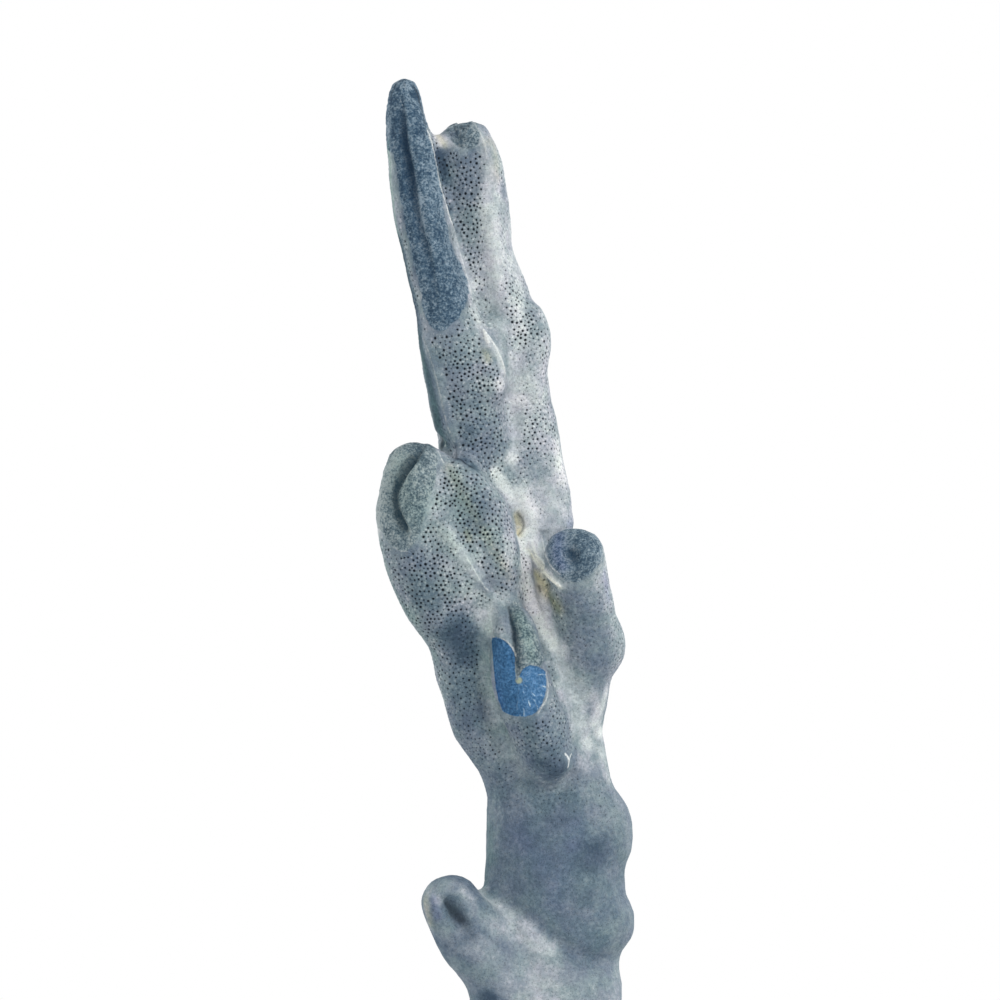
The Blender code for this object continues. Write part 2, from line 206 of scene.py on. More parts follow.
# Rises and hollows along lines on the skin: height (negative for a hollow), then (x, z, radius).
RELIEF = [
    # The back finger: the scallops of its tip, its crest and the broad rise below.
    (0.5, [(-22.6, 239.8, 0.9)]),
    (0.6, [(-20.4, 240.4, 0.9)]),
    (0.5, [(-18.6, 239.4, 0.8)]),
    (0.7, [(-17.8, 238.4, 1.2), (-15.4, 233.4, 1.4), (-14.6, 228.0, 1.5), (-15.6, 219.0, 1.6)]),
    (0.6, [(-13.6, 216.0, 2.2), (-12.6, 205.0, 2.2), (-11.6, 194.0, 2.2), (-10.6, 184.0, 2.0)]),
    # The blade's left crest, its sharp right edge and the broken white ridge below that.
    (0.9, [(-29.7, 186.0, 0.9), (-28.2, 180.5, 1.1), (-26.3, 174.6, 1.2), (-24.2, 165.0, 1.2),
           (-22.1, 159.4, 1.1)]),
    (-0.6, [(-29.4, 176.6, 1.5), (-27.4, 167.0, 1.5), (-25.6, 160.4, 1.4)]),
    (0.7, [(-29.2, 236.6, 0.4), (-28.6, 232.0, 0.9), (-27.0, 224.0, 1.1), (-24.0, 214.0, 1.2)]),
    (0.7, [(-24.0, 214.0, 1.2), (-21.8, 207.0, 1.3), (-19.0, 197.0, 1.4), (-16.6, 189.5, 1.2)]),
    (0.45, [(-15.2, 187.0, 0.8), (-14.0, 184.6, 0.8), (-12.4, 182.4, 0.8), (-11.2, 179.6, 0.8),
            (-10.4, 176.6, 0.7)]),
    # The valley between the blade and the back finger, on down past the left lobe.
    (-1.0, [(-9.0, 171.5, 1.6), (-8.2, 166.0, 1.7), (-7.0, 159.0, 1.9), (-7.6, 153.5, 1.9)]),
    (0.6, [(-5.6, 147.0, 1.8), (-3.6, 141.0, 1.8)]),
    (1.8, [(-5.2, 131.0, 1.5), (-4.6, 126.0, 1.9), (-3.4, 120.6, 2.1), (-1.4, 115.0, 2.0)]),
    (1.2, [(-1.6, 114.0, 1.6), (0.4, 108.0, 1.8), (2.4, 101.0, 1.8), (4.6, 94.0, 1.8), (6.4, 87.0, 1.6)]),
    # The left lobe's slanting crest, the step at its lower end and the small pit in its right edge.
    (0.75, [(-26.6, 140.6, 1.8), (-23.2, 135.4, 1.8), (-19.8, 130.6, 1.7), (-16.4, 125.8, 1.5),
            (-14.2, 123.0, 1.1)]),
    (-0.8, [(-17.0, 128.6, 1.0), (-14.0, 124.0, 1.1), (-11.6, 121.2, 1.0)]),
    (-0.7, [(-6.9, 141.0, 1.0), (-6.3, 138.6, 1.1), (-6.4, 136.6, 0.9)]),
    # The crotch under the blade.
    (-1.3, [(-27.0, 160.6, 1.3), (-24.6, 157.8, 1.3), (-22.2, 156.0, 1.2)]),
    (-1.1, [(-21.6, 156.6, 0.8), (-19.8, 155.4, 1.0), (-18.2, 154.2, 1.0), (-16.8, 153.2, 0.7)]),
    # The valleys left of the front lobe and under its bulb, and the bulb.
    (-1.0, [(-18.4, 110.0, 1.7), (-15.4, 102.0, 1.8), (-12.8, 94.0, 1.9), (-10.2, 84.0, 2.0)]),
    (-1.7, [(-8.4, 79.6, 1.5), (-5.4, 75.6, 1.5), (-1.0, 73.0, 1.5), (3.6, 73.2, 1.5), (7.6, 77.0, 1.4)]),
    (-0.5, [(8.6, 98.0, 2.2), (11.4, 90.0, 2.4), (11.4, 80.0, 2.4)]),
    (2.4, [(-2.6, 90.0, 2.8), (0.0, 84.0, 3.6), (1.8, 79.8, 3.4)]),
    # The notch under the right finger's broken ledge.
    (-0.9, [(-1.6, 127.0, 0.9), (0.4, 124.2, 1.3), (2.6, 121.0, 1.6), (4.4, 117.0, 1.6)]),
    # The hollow in the lower knob's tip.
    (-1.8, [(-24.4, 45.8, 1.5), (-22.6, 43.2, 1.9), (-20.8, 40.6, 1.7)]),
    # The crease under the stem's mass, and the rise that runs from it to the knob.
    (-0.5, [(3.8, 34.0, 2.6), (10.0, 29.8, 2.6), (16.8, 30.0, 2.4)]),
    (0.9, [(-15.0, 44.8, 2.2), (-9.6, 41.2, 2.4), (-3.8, 38.4, 2.8)]),
]

# The fresh break on the front lobe: its outline (x, z), how far it lies below the skin, and its core.
BREAK_OUTLINE = [
    (-13.5, 111.0), (-13.3, 104.6), (-12.7, 99.4), (-11.4, 93.8), (-9.8, 92.0), (-5.8, 91.6),
    (-2.6, 92.6), (-0.4, 95.4), (0.5, 99.4), (0.2, 102.8), (-1.6, 104.0), (-4.0, 104.4), (-6.0, 103.2),
    (-7.2, 100.6), (-7.7, 104.6), (-8.0, 107.8), (-9.8, 110.2),
]
BREAK_DEPTH = 0.7
BREAK_FRONT = -8.0
BREAK_CORE = (-6.6, 100.6)

# Thin pale ledges along lines on the skin: how pale and how high, then (x, z, half width).
CRESTS = [
    # Flecks on the blade's tip.
    (0.4, 0.05, [(-35.2, 248.8, 0.3), (-34.8, 247.9, 0.3)]),
    (0.4, 0.05, [(-33.6, 248.2, 0.25), (-33.2, 247.4, 0.3)]),
    (0.35, 0.05, [(-36.4, 245.4, 0.2), (-35.4, 242.8, 0.25)]),
    # The blade's right edge, painted pale as a highlight, then the edge of the pale band beside it.
    (0.85, 0.25, [(-29.6, 237.4, 0.2), (-28.7, 232.6, 0.28), (-27.5, 227.6, 0.28), (-26.8, 223.2, 0.3)]),
    (0.8, 0.2, [(-26.8, 223.2, 0.28), (-25.6, 219.2, 0.28), (-24.4, 215.0, 0.35), (-23.0, 211.6, 0.3)]),
    (0.6, 0.15, [(-22.8, 210.6, 0.3), (-21.6, 206.0, 0.3), (-20.0, 200.6, 0.3), (-18.9, 196.0, 0.2)]),
    # The back finger's crest, and the creamy patch left of its tip.
    (0.45, 0.3, [(-18.2, 239.4, 0.3), (-16.4, 236.2, 0.5), (-15.2, 233.0, 0.5), (-14.6, 230.0, 0.4)]),
    (0.4, 0.15, [(-26.8, 236.2, 0.6), (-25.6, 234.6, 1.0), (-24.6, 233.2, 0.6)]),
    # The broken white ridge below the blade's blue.
    (1.0, 0.3, [(-15.5, 187.3, 0.2), (-15.0, 186.0, 0.5), (-14.6, 184.8, 0.55), (-14.1, 183.8, 0.3)]),
    (0.9, 0.2, [(-14.9, 186.6, 0.2), (-13.2, 183.9, 0.25), (-12.2, 182.0, 0.2)]),
    (0.8, 0.2, [(-12.1, 181.6, 0.2), (-11.2, 179.7, 0.3), (-10.5, 177.3, 0.25), (-10.3, 175.6, 0.2)]),
    (0.42, 0.1, [(-29.5, 185.2, 0.25), (-26.3, 174.6, 0.35), (-24.2, 165.0, 0.35), (-22.1, 159.4, 0.3)]),
    # The left lobe: the cracked rim of its pad, its top edge, the rim under its left lip, and its step.
    (0.45, 0.1, [(-35.0, 151.2, 0.2), (-32.4, 151.4, 0.2), (-30.4, 149.8, 0.2), (-28.4, 147.2, 0.2)]),
    (0.55, 0.15, [(-27.6, 159.6, 0.25), (-26.6, 157.0, 0.3), (-25.2, 154.2, 0.3)]),
    (0.5, 0.15, [(-38.8, 134.6, 0.2), (-37.4, 133.2, 0.2), (-35.6, 132.4, 0.2), (-34.0, 132.4, 0.2)]),
    (0.6, 0.2, [(-19.6, 130.8, 0.25), (-17.4, 127.2, 0.3), (-15.4, 124.2, 0.3), (-14.0, 122.6, 0.25)]),
    # The front lobe's edge above the break, and the break's pale rim.
    (0.6, 0.15, [(-13.0, 111.2, 0.2), (-11.6, 111.0, 0.2), (-9.6, 110.3, 0.25), (-8.3, 108.6, 0.25),
                 (-7.6, 106.6, 0.2)]),
    (0.55, 0.1, [(0.3, 103.0, 0.2), (0.6, 99.0, 0.25), (0.0, 95.6, 0.3), (-2.0, 92.8, 0.3)]),
    # The right finger's broken ledge, and the crumbs round the left of its disc.
    (1.2, 0.9, [(-3.8, 131.4, 0.4), (-2.4, 129.4, 0.5), (-0.2, 127.6, 0.6), (2.0, 125.5, 0.65),
                (3.7, 124.0, 0.45)]),
    (0.8, 0.2, [(-3.2, 134.6, 0.5), (-2.4, 131.6, 0.6), (-0.6, 129.2, 0.6)]),
    (0.6, 0.15, [(-0.9, 136.0, 0.3), (0.0, 131.6, 0.4), (1.6, 128.4, 0.5), (3.6, 126.8, 0.3)]),
    # The right finger's right edge, painted pale as a highlight.
    (0.5, 0.1, [(12.6, 137.2, 0.25), (14.2, 133.4, 0.3), (13.4, 128.8, 0.25)]),
    # The chip on the front lobe's bulb.
    (0.75, 0.15, [(4.2, 82.6, 0.3), (5.2, 81.0, 0.5), (5.0, 79.2, 0.35)]),
    (0.7, 0.1, [(6.4, 82.2, 0.3), (5.4, 80.9, 0.4)]),
]

# Painted shade in hollows, crevices, pleats and notches, and dark edges, along lines on the skin: how dark,
# then (x, z, half width).
HOLLOWS = [
    # The blade's dark edges, and the foot of its left side.
    (0.5, [(-38.6, 245.6, 0.5), (-37.0, 249.0, 0.4), (-34.8, 250.0, 0.3)]),
    (0.6, [(-32.9, 248.4, 0.45), (-31.8, 246.4, 0.6), (-31.2, 244.0, 0.55), (-30.6, 241.6, 0.6)]),
    (0.5, [(-30.4, 240.6, 0.55), (-29.9, 238.5, 0.45)]),
    # The pleats of the back finger's tip.
    (0.4, [(-22.2, 235.4, 0.3), (-23.8, 237.6, 0.35), (-25.0, 238.8, 0.3)]),
    (0.45, [(-21.8, 235.6, 0.3), (-22.4, 238.0, 0.4), (-22.8, 239.8, 0.35)]),
    (0.45, [(-21.2, 235.6, 0.3), (-21.0, 238.0, 0.4), (-20.8, 240.4, 0.3)]),
    (0.4, [(-20.6, 235.4, 0.3), (-19.4, 237.4, 0.4), (-18.8, 239.2, 0.3)]),
    (0.4, [(-20.2, 234.8, 0.3), (-18.4, 235.6, 0.4)]),
    (0.35, [(-28.4, 168.0, 0.8), (-27.2, 163.0, 1.4)]),
    (0.6, [(-27.2, 161.4, 1.2), (-26.2, 158.4, 1.1)]),
    # The crevice between the left lobe and the blade, and the small pit in the lobe's right edge.
    (0.5, [(-22.6, 157.0, 0.5), (-21.2, 155.4, 0.6)]),
    (0.8, [(-20.6, 155.0, 0.6), (-19.6, 154.2, 0.75)]),
    (0.8, [(-18.7, 153.5, 0.65), (-17.9, 153.2, 0.6)]),
    (0.65, [(-16.9, 152.8, 0.45)]),
    (0.5, [(-6.9, 142.0, 0.3), (-5.6, 140.2, 0.4), (-5.3, 138.0, 0.4), (-6.4, 136.2, 0.3)]),
    (0.4, [(-7.2, 139.4, 0.3)]),
    # The front lobe's slot at its darkest, and the notch beside the right finger.
    (0.5, [(-9.2, 118.6, 0.6), (-8.6, 115.0, 0.7), (-8.2, 110.6, 0.6), (-7.8, 106.0, 0.4)]),
    (0.55, [(-1.6, 123.6, 0.5), (-1.2, 122.2, 0.4)]),
    (0.45, [(0.8, 117.6, 0.5)]),
    (0.35, [(-1.4, 137.4, 0.6), (0.8, 137.0, 0.6)]),
    # The hollow in the lower knob, and the wider shade round it.
    (0.6, [(-24.2, 45.2, 0.9), (-22.4, 42.8, 1.4), (-20.8, 40.8, 1.1)]),
    (0.3, [(-25.2, 46.2, 1.6), (-22.0, 42.4, 2.8), (-17.8, 37.2, 2.0)]),
]

# Where pits fade out along lines on the skin: how much they fade, then (x, z, half width).
SMOOTH = [
    # The back finger's tip, broad pale rise, right side and foot.
    (1.0, [(-26.0, 236.0, 1.6), (-21.0, 237.6, 2.6), (-17.4, 237.6, 1.4)]),
    (1.0, [(-12.8, 233.6, 2.2), (-13.4, 226.0, 2.0), (-13.4, 216.0, 2.2), (-12.6, 205.0, 2.4)]),
    (1.0, [(-12.6, 205.0, 2.2), (-12.2, 197.0, 2.2), (-11.2, 186.0, 1.8), (-7.4, 174.0, 1.6)]),
    (0.55, [(-10.6, 222.0, 2.2), (-8.4, 208.0, 2.4), (-6.6, 199.0, 2.0)]),
    (0.55, [(-5.0, 178.0, 4.6), (-3.2, 171.0, 4.2)]),
    (0.9, [(-0.5, 150.0, 5.0), (1.8, 143.8, 5.0), (3.8, 137.5, 5.0)]),
    # The valley between the blade and the back finger, past the left lobe and the front lobe.
    (0.9, [(-13.8, 183.8, 1.6), (-10.5, 177.5, 1.6), (-8.2, 170.0, 1.6), (-7.0, 162.5, 1.6),
           (-8.4, 153.0, 1.8)]),
    (1.0, [(-10.8, 149.0, 2.2), (-6.2, 143.8, 2.6), (-3.8, 135.0, 2.6), (-3.8, 125.8, 2.4),
           (-1.6, 118.0, 2.4)]),
    (1.0, [(-1.6, 118.0, 2.4), (2.0, 110.0, 2.8), (5.0, 100.0, 3.2), (8.0, 88.0, 3.4), (11.8, 79.0, 4.4)]),
    # The blade's left side.
    (1.0, [(-38.8, 237.5, 2.0), (-38.0, 222.5, 2.0), (-36.5, 210.0, 2.0), (-34.0, 197.5, 2.2)]),
    (1.0, [(-32.4, 190.0, 2.3), (-30.6, 182.0, 2.3), (-29.0, 174.0, 2.3), (-27.6, 166.0, 2.2),
           (-26.6, 159.0, 2.0)]),
    # The left lobe's slanting crest, the light patch under its slot, and below that.
    (0.65, [(-26.5, 140.5, 1.6), (-23.2, 135.2, 1.6), (-20.0, 130.5, 1.6), (-16.5, 125.8, 1.6),
            (-13.0, 121.8, 1.6)]),
    (0.8, [(-38.2, 137.4, 1.6), (-36.6, 134.4, 1.6)]),
    (0.6, [(-23.6, 113.5, 3.0), (-20.6, 107.5, 3.0)]),
    (0.35, [(-19.0, 98.0, 4.0), (-17.0, 86.0, 4.0)]),
    # The right finger, blurred all over.
    (0.72, [(8.8, 121.2, 7.0), (11.8, 113.8, 7.0), (13.2, 105.0, 7.0), (11.8, 97.5, 6.0)]),
    (0.9, [(12.8, 93.0, 4.6), (13.6, 84.0, 5.0)]),
    # The front lobe's head and left side.
    (1.0, [(-14.2, 115.4, 3.4), (-10.6, 118.0, 3.0)]),
    (0.85, [(-15.0, 110.0, 1.8), (-14.2, 100.0, 2.0), (-12.0, 91.2, 2.2), (-9.2, 82.5, 2.2),
            (-4.2, 74.0, 2.0)]),
]

# Tones of the skin along lines on it: the tone (0 dark blue, 0.5 grey-blue, 1 near white, and a little
# beyond either end), then (x, z, half width). Besides the skin's own colour the tones hold painted light:
# the pale valley and the outer edges are painted paler where they catch the light, and the crevices, the
# notch low on the stem and the blade's left flank darker where they lie in shade.
TONES = [
    # The back finger: tip, crest, right side, field of pits, broad pale rise, bump and foot.
    (0.38, [(-20.6, 239.6, 2.2), (-20.8, 236.4, 2.2)]),
    (0.8, [(-25.4, 237.6, 1.0), (-24.0, 239.0, 0.9)]),
    (1.1, [(-27.0, 236.0, 0.9), (-25.6, 234.4, 1.2)]),
    (0.9, [(-23.6, 234.0, 1.0), (-20.4, 233.2, 1.0)]),
    (0.8, [(-17.8, 238.4, 0.9), (-15.8, 234.4, 0.7), (-14.6, 227.0, 1.2), (-15.0, 220.0, 1.4)]),
    (0.95, [(-14.8, 223.0, 1.2), (-14.3, 216.0, 1.7), (-13.6, 210.0, 1.6)]),
    (0.4, [(-10.6, 222.4, 1.2)]),
    (0.6, [(-10.6, 211.0, 1.2)]),
    (0.5, [(-14.8, 238.2, 1.0)]),
    (0.85, [(-13.0, 235.0, 1.4), (-12.2, 232.0, 1.0)]),
    (0.85, [(-12.8, 228.0, 1.4), (-12.0, 221.0, 1.8)]),
    (-0.3, [(-26.4, 231.0, 1.3), (-25.2, 225.0, 1.1)]),
    (0.0, [(-24.0, 217.4, 0.8)]),
    (0.32, [(-19.6, 231.6, 3.2), (-20.2, 223.0, 3.4)]),
    (0.5, [(-20.4, 215.0, 3.0)]),
    (0.7, [(-18.0, 208.0, 2.6)]),
    (0.98, [(-14.0, 212.0, 2.0), (-12.8, 205.0, 2.4), (-12.2, 196.0, 2.4)]),
    (0.82, [(-11.4, 188.0, 1.8)]),
    (0.92, [(-8.8, 212.0, 1.8), (-7.0, 204.0, 2.0), (-6.6, 198.0, 1.8), (-6.8, 190.6, 1.4),
            (-5.8, 184.0, 1.6)]),
    (0.78, [(-16.8, 203.8, 1.6)]),
    (1.05, [(-19.6, 197.0, 1.1), (-16.8, 199.0, 1.4)]),
    (0.8, [(-15.0, 194.4, 1.4)]),
    (0.5, [(-3.4, 193.0, 2.2), (-2.2, 188.6, 2.6)]),
    (0.9, [(0.2, 184.0, 1.6), (-0.6, 178.0, 1.8)]),
    (0.95, [(-8.4, 180.0, 1.6), (-6.2, 175.5, 2.6), (-3.4, 170.6, 3.0)]),
    (0.72, [(-3.2, 165.5, 3.2), (-2.4, 159.0, 3.4)]),
    (0.4, [(-3.6, 155.6, 2.2)]),
    # The right edge here, painted paler as a highlight.
    (1.2, [(3.0, 158.0, 1.6), (4.4, 151.0, 2.2)]),
    (0.52, [(-1.4, 151.0, 2.0)]),
    (0.85, [(-0.4, 147.0, 4.0), (2.6, 141.5, 4.2)]),
    # The blade: its right edge, broken ridge, field of pits, left crest and left side.
    (0.7, [(-29.4, 238.0, 0.4), (-28.6, 232.0, 0.45), (-27.0, 224.0, 0.5), (-24.0, 214.0, 0.8)]),
    (0.9, [(-24.0, 214.0, 0.9), (-21.6, 206.0, 1.0), (-19.4, 198.0, 1.5), (-17.2, 190.6, 1.4),
           (-15.4, 187.0, 0.9)]),
    (1.0, [(-14.0, 184.2, 0.7), (-12.0, 181.6, 0.7), (-10.5, 177.3, 0.7)]),
    (0.85, [(-8.0, 168.0, 1.3), (-6.8, 162.5, 1.1), (-6.8, 157.5, 1.0)]),
    (1.2, [(-11.4, 173.4, 1.3)]),
    (1.2, [(-7.0, 169.8, 1.6)]),
    (1.1, [(-8.0, 155.6, 1.4)]),
    (0.38, [(-24.0, 186.0, 3.8), (-21.6, 177.0, 3.8), (-19.0, 169.0, 3.8)]),
    (0.6, [(-16.0, 176.0, 2.4), (-13.8, 171.0, 2.0)]),
    (0.24, [(-18.4, 161.0, 3.6)]),
    (0.34, [(-14.0, 161.5, 3.0), (-12.0, 158.5, 2.2)]),
    # Painted shade in the crevice under the blade.
    (-0.1, [(-20.6, 155.6, 1.4), (-17.6, 153.4, 1.2)]),
    (0.45, [(-29.0, 184.6, 0.6), (-25.8, 174.6, 0.7), (-23.8, 165.6, 0.7), (-21.8, 159.8, 0.6)]),
    # The blade's left flank, painted darker as shade away from the light.
    (0.06, [(-31.4, 184.0, 1.2), (-29.2, 176.6, 2.0), (-27.4, 168.0, 2.2), (-25.2, 160.2, 2.1)]),
    (0.3, [(-37.2, 240.0, 2.0), (-36.6, 232.0, 2.0), (-34.8, 222.0, 2.0), (-33.0, 211.0, 2.0),
           (-30.9, 200.0, 2.0)]),
    (0.1, [(-38.4, 246.0, 1.4)]),
    (0.1, [(-31.8, 241.0, 1.4), (-31.2, 237.0, 1.2)]),
    (0.12, [(-34.8, 226.0, 1.0), (-33.6, 220.0, 1.0)]),
    (0.6, [(-35.4, 249.0, 0.6), (-33.8, 247.8, 0.6)]),
    (0.5, [(-35.0, 245.4, 0.5), (-33.8, 242.6, 0.5)]),
    (-0.3, [(-32.6, 246.0, 1.1)]),
    (-0.1, [(-38.0, 244.6, 1.1)]),
    (0.42, [(-31.2, 232.0, 1.6), (-30.2, 226.0, 1.6)]),
    (0.4, [(-29.0, 221.0, 1.4), (-27.8, 213.0, 1.5)]),
    (0.95, [(-31.3, 220.0, 0.7), (-30.0, 211.0, 0.7)]),
    (0.1, [(-26.6, 210.4, 1.4)]),
    (0.1, [(-32.8, 209.4, 1.1)]),
    (0.3, [(-27.4, 203.0, 2.8), (-25.0, 197.0, 3.2), (-25.4, 191.0, 2.8)]),
    (0.8, [(-40.4, 240.0, 0.9), (-39.6, 230.0, 1.0), (-38.4, 220.0, 1.0)]),
    (-0.1, [(-37.2, 209.0, 1.4), (-35.0, 200.0, 1.8), (-33.0, 190.0, 2.0), (-31.8, 184.0, 1.4)]),
    # The pale valley down past the left lobe and the front lobe, and the right edge below it: their own pale
    # colour, with painted light over it where they face the light.
    (1.25, [(-12.6, 151.8, 1.1), (-10.4, 148.6, 1.2), (-8.0, 145.6, 1.2)]),
    (1.3, [(-6.2, 145.4, 2.0), (-3.4, 141.0, 2.4), (-5.6, 135.0, 2.0), (-5.8, 128.0, 1.8)]),
    (1.3, [(-5.4, 124.0, 1.8), (-3.6, 118.6, 1.8), (-0.8, 114.0, 1.8), (2.0, 109.0, 1.4)]),
    (1.1, [(4.4, 107.6, 1.3)]),
    (0.9, [(3.6, 103.6, 1.6), (6.2, 99.0, 2.0), (8.0, 94.4, 1.6), (8.6, 89.0, 1.8)]),
    (0.8, [(11.6, 96.0, 1.8)]),
    (1.0, [(10.6, 84.6, 2.0)]),
    (0.8, [(10.0, 79.6, 1.8)]),
    (1.1, [(15.2, 97.0, 1.1), (12.8, 90.0, 1.8)]),
    (1.25, [(14.2, 87.0, 1.3)]),
    (0.9, [(14.4, 82.0, 1.6), (15.6, 76.0, 1.6)]),
    # The left lobe: field of pits, crest, pad, left side, small pit and the dark flank below.
    (0.5, [(-20.0, 150.0, 4.4)]),
    (0.3, [(-16.0, 143.6, 3.2), (-17.4, 139.6, 2.2)]),
    (0.56, [(-13.6, 133.0, 3.0)]),
    (0.95, [(-8.8, 135.4, 1.8), (-9.4, 130.0, 1.6)]),
    (0.9, [(-16.4, 129.0, 1.3)]),
    (0.45, [(-12.2, 126.6, 1.6)]),
    (0.4, [(-19.0, 157.0, 2.2), (-15.0, 156.0, 2.0)]),
    (0.3, [(-35.0, 130.6, 3.2), (-31.0, 126.6, 3.6), (-29.2, 120.0, 2.4)]),
    (0.66, [(-22.4, 127.0, 2.4), (-19.4, 122.0, 2.0)]),
    (1.0, [(-18.4, 121.6, 1.6)]),
    (0.7, [(-15.0, 120.4, 1.4), (-10.6, 121.0, 1.4)]),
    (0.75, [(-16.0, 118.4, 1.4)]),
    (0.2, [(-30.8, 159.6, 1.8), (-30.6, 155.0, 1.4)]),
    (0.8, [(-34.4, 155.0, 1.4), (-35.2, 151.0, 1.3)]),
    (1.1, [(-36.4, 155.0, 1.8), (-40.0, 151.0, 1.8), (-41.6, 144.0, 2.2), (-41.6, 138.0, 1.8)]),
    (0.5, [(-31.6, 148.0, 2.0), (-31.8, 142.0, 1.8)]),
    (0.75, [(-23.6, 152.6, 1.4)]),
    (0.75, [(-26.4, 150.0, 1.3), (-28.0, 146.4, 1.2), (-27.6, 141.6, 1.2)]),
    (0.9, [(-24.6, 137.0, 1.2), (-20.4, 130.9, 1.1), (-16.9, 126.2, 0.9)]),
    (0.8, [(-6.2, 140.8, 0.8), (-5.8, 138.4, 0.8)]),
    (0.6, [(-42.0, 133.0, 1.8), (-38.4, 122.5, 1.8), (-33.2, 113.8, 1.8), (-28.2, 106.2, 2.0),
           (-25.8, 94.0, 1.8)]),
    (-0.15, [(-21.6, 112.0, 3.2), (-19.6, 107.5, 3.2)]),
    (0.22, [(-20.0, 99.5, 3.4), (-18.4, 92.0, 3.4)]),
    (0.5, [(-24.8, 99.0, 1.6)]),
    (0.4, [(-19.4, 84.6, 2.6)]),
    (0.5, [(-13.4, 83.0, 2.4)]),
    (0.9, [(-13.4, 97.0, 1.2), (-11.8, 91.0, 1.6)]),
    # The front lobe: head, slot, left side and bulb.
    (0.95, [(-14.8, 116.4, 2.2), (-13.6, 112.6, 1.4)]),
    (0.45, [(-9.2, 118.0, 1.2), (-8.6, 112.0, 1.2), (-8.0, 106.0, 0.9)]),
    (0.62, [(-5.6, 116.0, 2.0), (-3.6, 110.0, 1.8), (-3.0, 106.0, 1.4)]),
    (0.6, [(-15.4, 110.0, 1.4), (-14.8, 100.0, 1.7), (-12.2, 91.2, 2.2), (-9.6, 83.5, 2.2),
           (-5.6, 77.4, 1.4)]),
    (0.3, [(-3.8, 88.8, 3.4), (0.4, 83.2, 3.4)]),
    (-0.1, [(-1.0, 81.4, 2.2), (2.0, 79.6, 2.2)]),
    (0.85, [(2.0, 99.0, 1.0), (5.2, 93.0, 1.4), (6.4, 87.4, 1.6)]),
    # The right finger: its broken rim, the notch, its disc, its body and what lies under it; its right edges
    # are painted paler as a highlight.
    (1.15, [(-3.6, 130.8, 0.7), (-0.8, 128.4, 0.8), (1.6, 126.0, 0.8), (3.4, 123.8, 0.7)]),
    (1.1, [(-2.6, 136.0, 1.0), (-1.6, 132.4, 1.0)]),
    (1.1, [(-2.6, 126.0, 1.3), (-1.4, 122.0, 1.5), (0.0, 118.0, 1.5)]),
    (0.6, [(2.6, 121.0, 1.2), (3.4, 117.4, 1.3)]),
    (0.5, [(3.0, 135.0, 2.2), (3.8, 130.0, 2.2)]),
    (0.26, [(9.0, 136.4, 1.8), (10.6, 132.6, 2.2), (9.0, 128.0, 2.0)]),
    (0.9, [(12.4, 138.0, 0.9), (14.4, 134.0, 0.9), (15.0, 128.0, 1.0)]),
    (0.24, [(8.0, 119.0, 3.4)]),
    (0.34, [(11.0, 113.0, 4.0)]),
    (0.24, [(13.6, 105.4, 3.2), (14.0, 101.0, 2.0)]),
    (0.6, [(17.0, 122.0, 1.5), (18.6, 114.0, 1.5)]),
    # The stem, from the top down.
    (0.2, [(3.0, 68.4, 4.0)]),
    (0.5, [(0.0, 73.6, 1.2), (4.0, 74.2, 1.2), (7.4, 77.6, 1.2)]),
    (0.2, [(-11.4, 73.6, 2.2)]),
    (0.5, [(13.2, 72.5, 3.4), (19.6, 66.0, 2.4), (20.6, 58.0, 1.6)]),
    (0.26, [(-5.0, 60.0, 6.0), (4.4, 57.5, 5.0)]),
    (-0.05, [(9.0, 57.0, 3.0), (12.6, 57.0, 3.0)]),
    (0.3, [(16.0, 46.0, 2.6)]),
    (0.42, [(-13.6, 66.0, 2.2), (-13.8, 54.0, 2.4)]),
    (0.3, [(3.0, 45.0, 6.0)]),
    (0.24, [(6.6, 36.4, 2.6), (11.4, 34.0, 3.2)]),
    (0.5, [(18.6, 38.6, 1.8), (18.8, 32.0, 2.0)]),
    (0.8, [(-20.4, 48.6, 1.2), (-18.8, 46.6, 1.2)]),
    (0.88, [(-16.4, 48.0, 1.3), (-14.4, 45.6, 1.8), (-11.4, 43.2, 2.0), (-7.8, 41.0, 2.0),
            (-4.2, 39.0, 1.8)]),
    (0.4, [(-10.6, 47.2, 1.4), (-6.4, 44.6, 1.6)]),
    (0.6, [(-17.2, 43.0, 1.4), (-12.8, 39.8, 1.4)]),
    (0.85, [(-12.0, 39.4, 1.8), (-7.0, 36.6, 2.2), (-3.0, 35.6, 2.2), (1.6, 34.4, 1.6)]),
    (0.8, [(-1.6, 29.5, 4.0), (0.4, 22.0, 4.6), (2.0, 12.0, 5.0)]),
    (0.7, [(-9.0, 27.0, 2.4), (-7.0, 24.0, 2.4)]),
    (0.5, [(-13.0, 26.6, 1.6)]),
    # Painted shadow in the notch low on the stem's left.
    (-0.2, [(-14.2, 21.6, 1.6)]),
    (0.6, [(18.4, 30.0, 1.6), (17.6, 22.0, 2.2)]),
    (0.55, [(12.0, 23.0, 4.0), (13.0, 12.0, 4.6)]),
    # The lower knob.
    (0.66, [(-28.6, 48.6, 1.8), (-23.6, 50.2, 1.8)]),
    (0.3, [(-17.0, 40.0, 1.6)]),
    (0.6, [(-17.6, 33.6, 2.2), (-12.6, 33.0, 2.0)]),
    (0.7, [(-29.8, 45.0, 1.2), (-28.6, 38.0, 1.2)]),
    (0.5, [(-26.4, 42.4, 1.0), (-24.4, 37.4, 1.6)]),
    (0.9, [(-26.8, 46.4, 1.0)]),
    (0.4, [(-20.4, 31.0, 2.6), (-17.0, 28.0, 2.6)]),
    (0.3, [(-17.0, 20.0, 2.4)]),
]
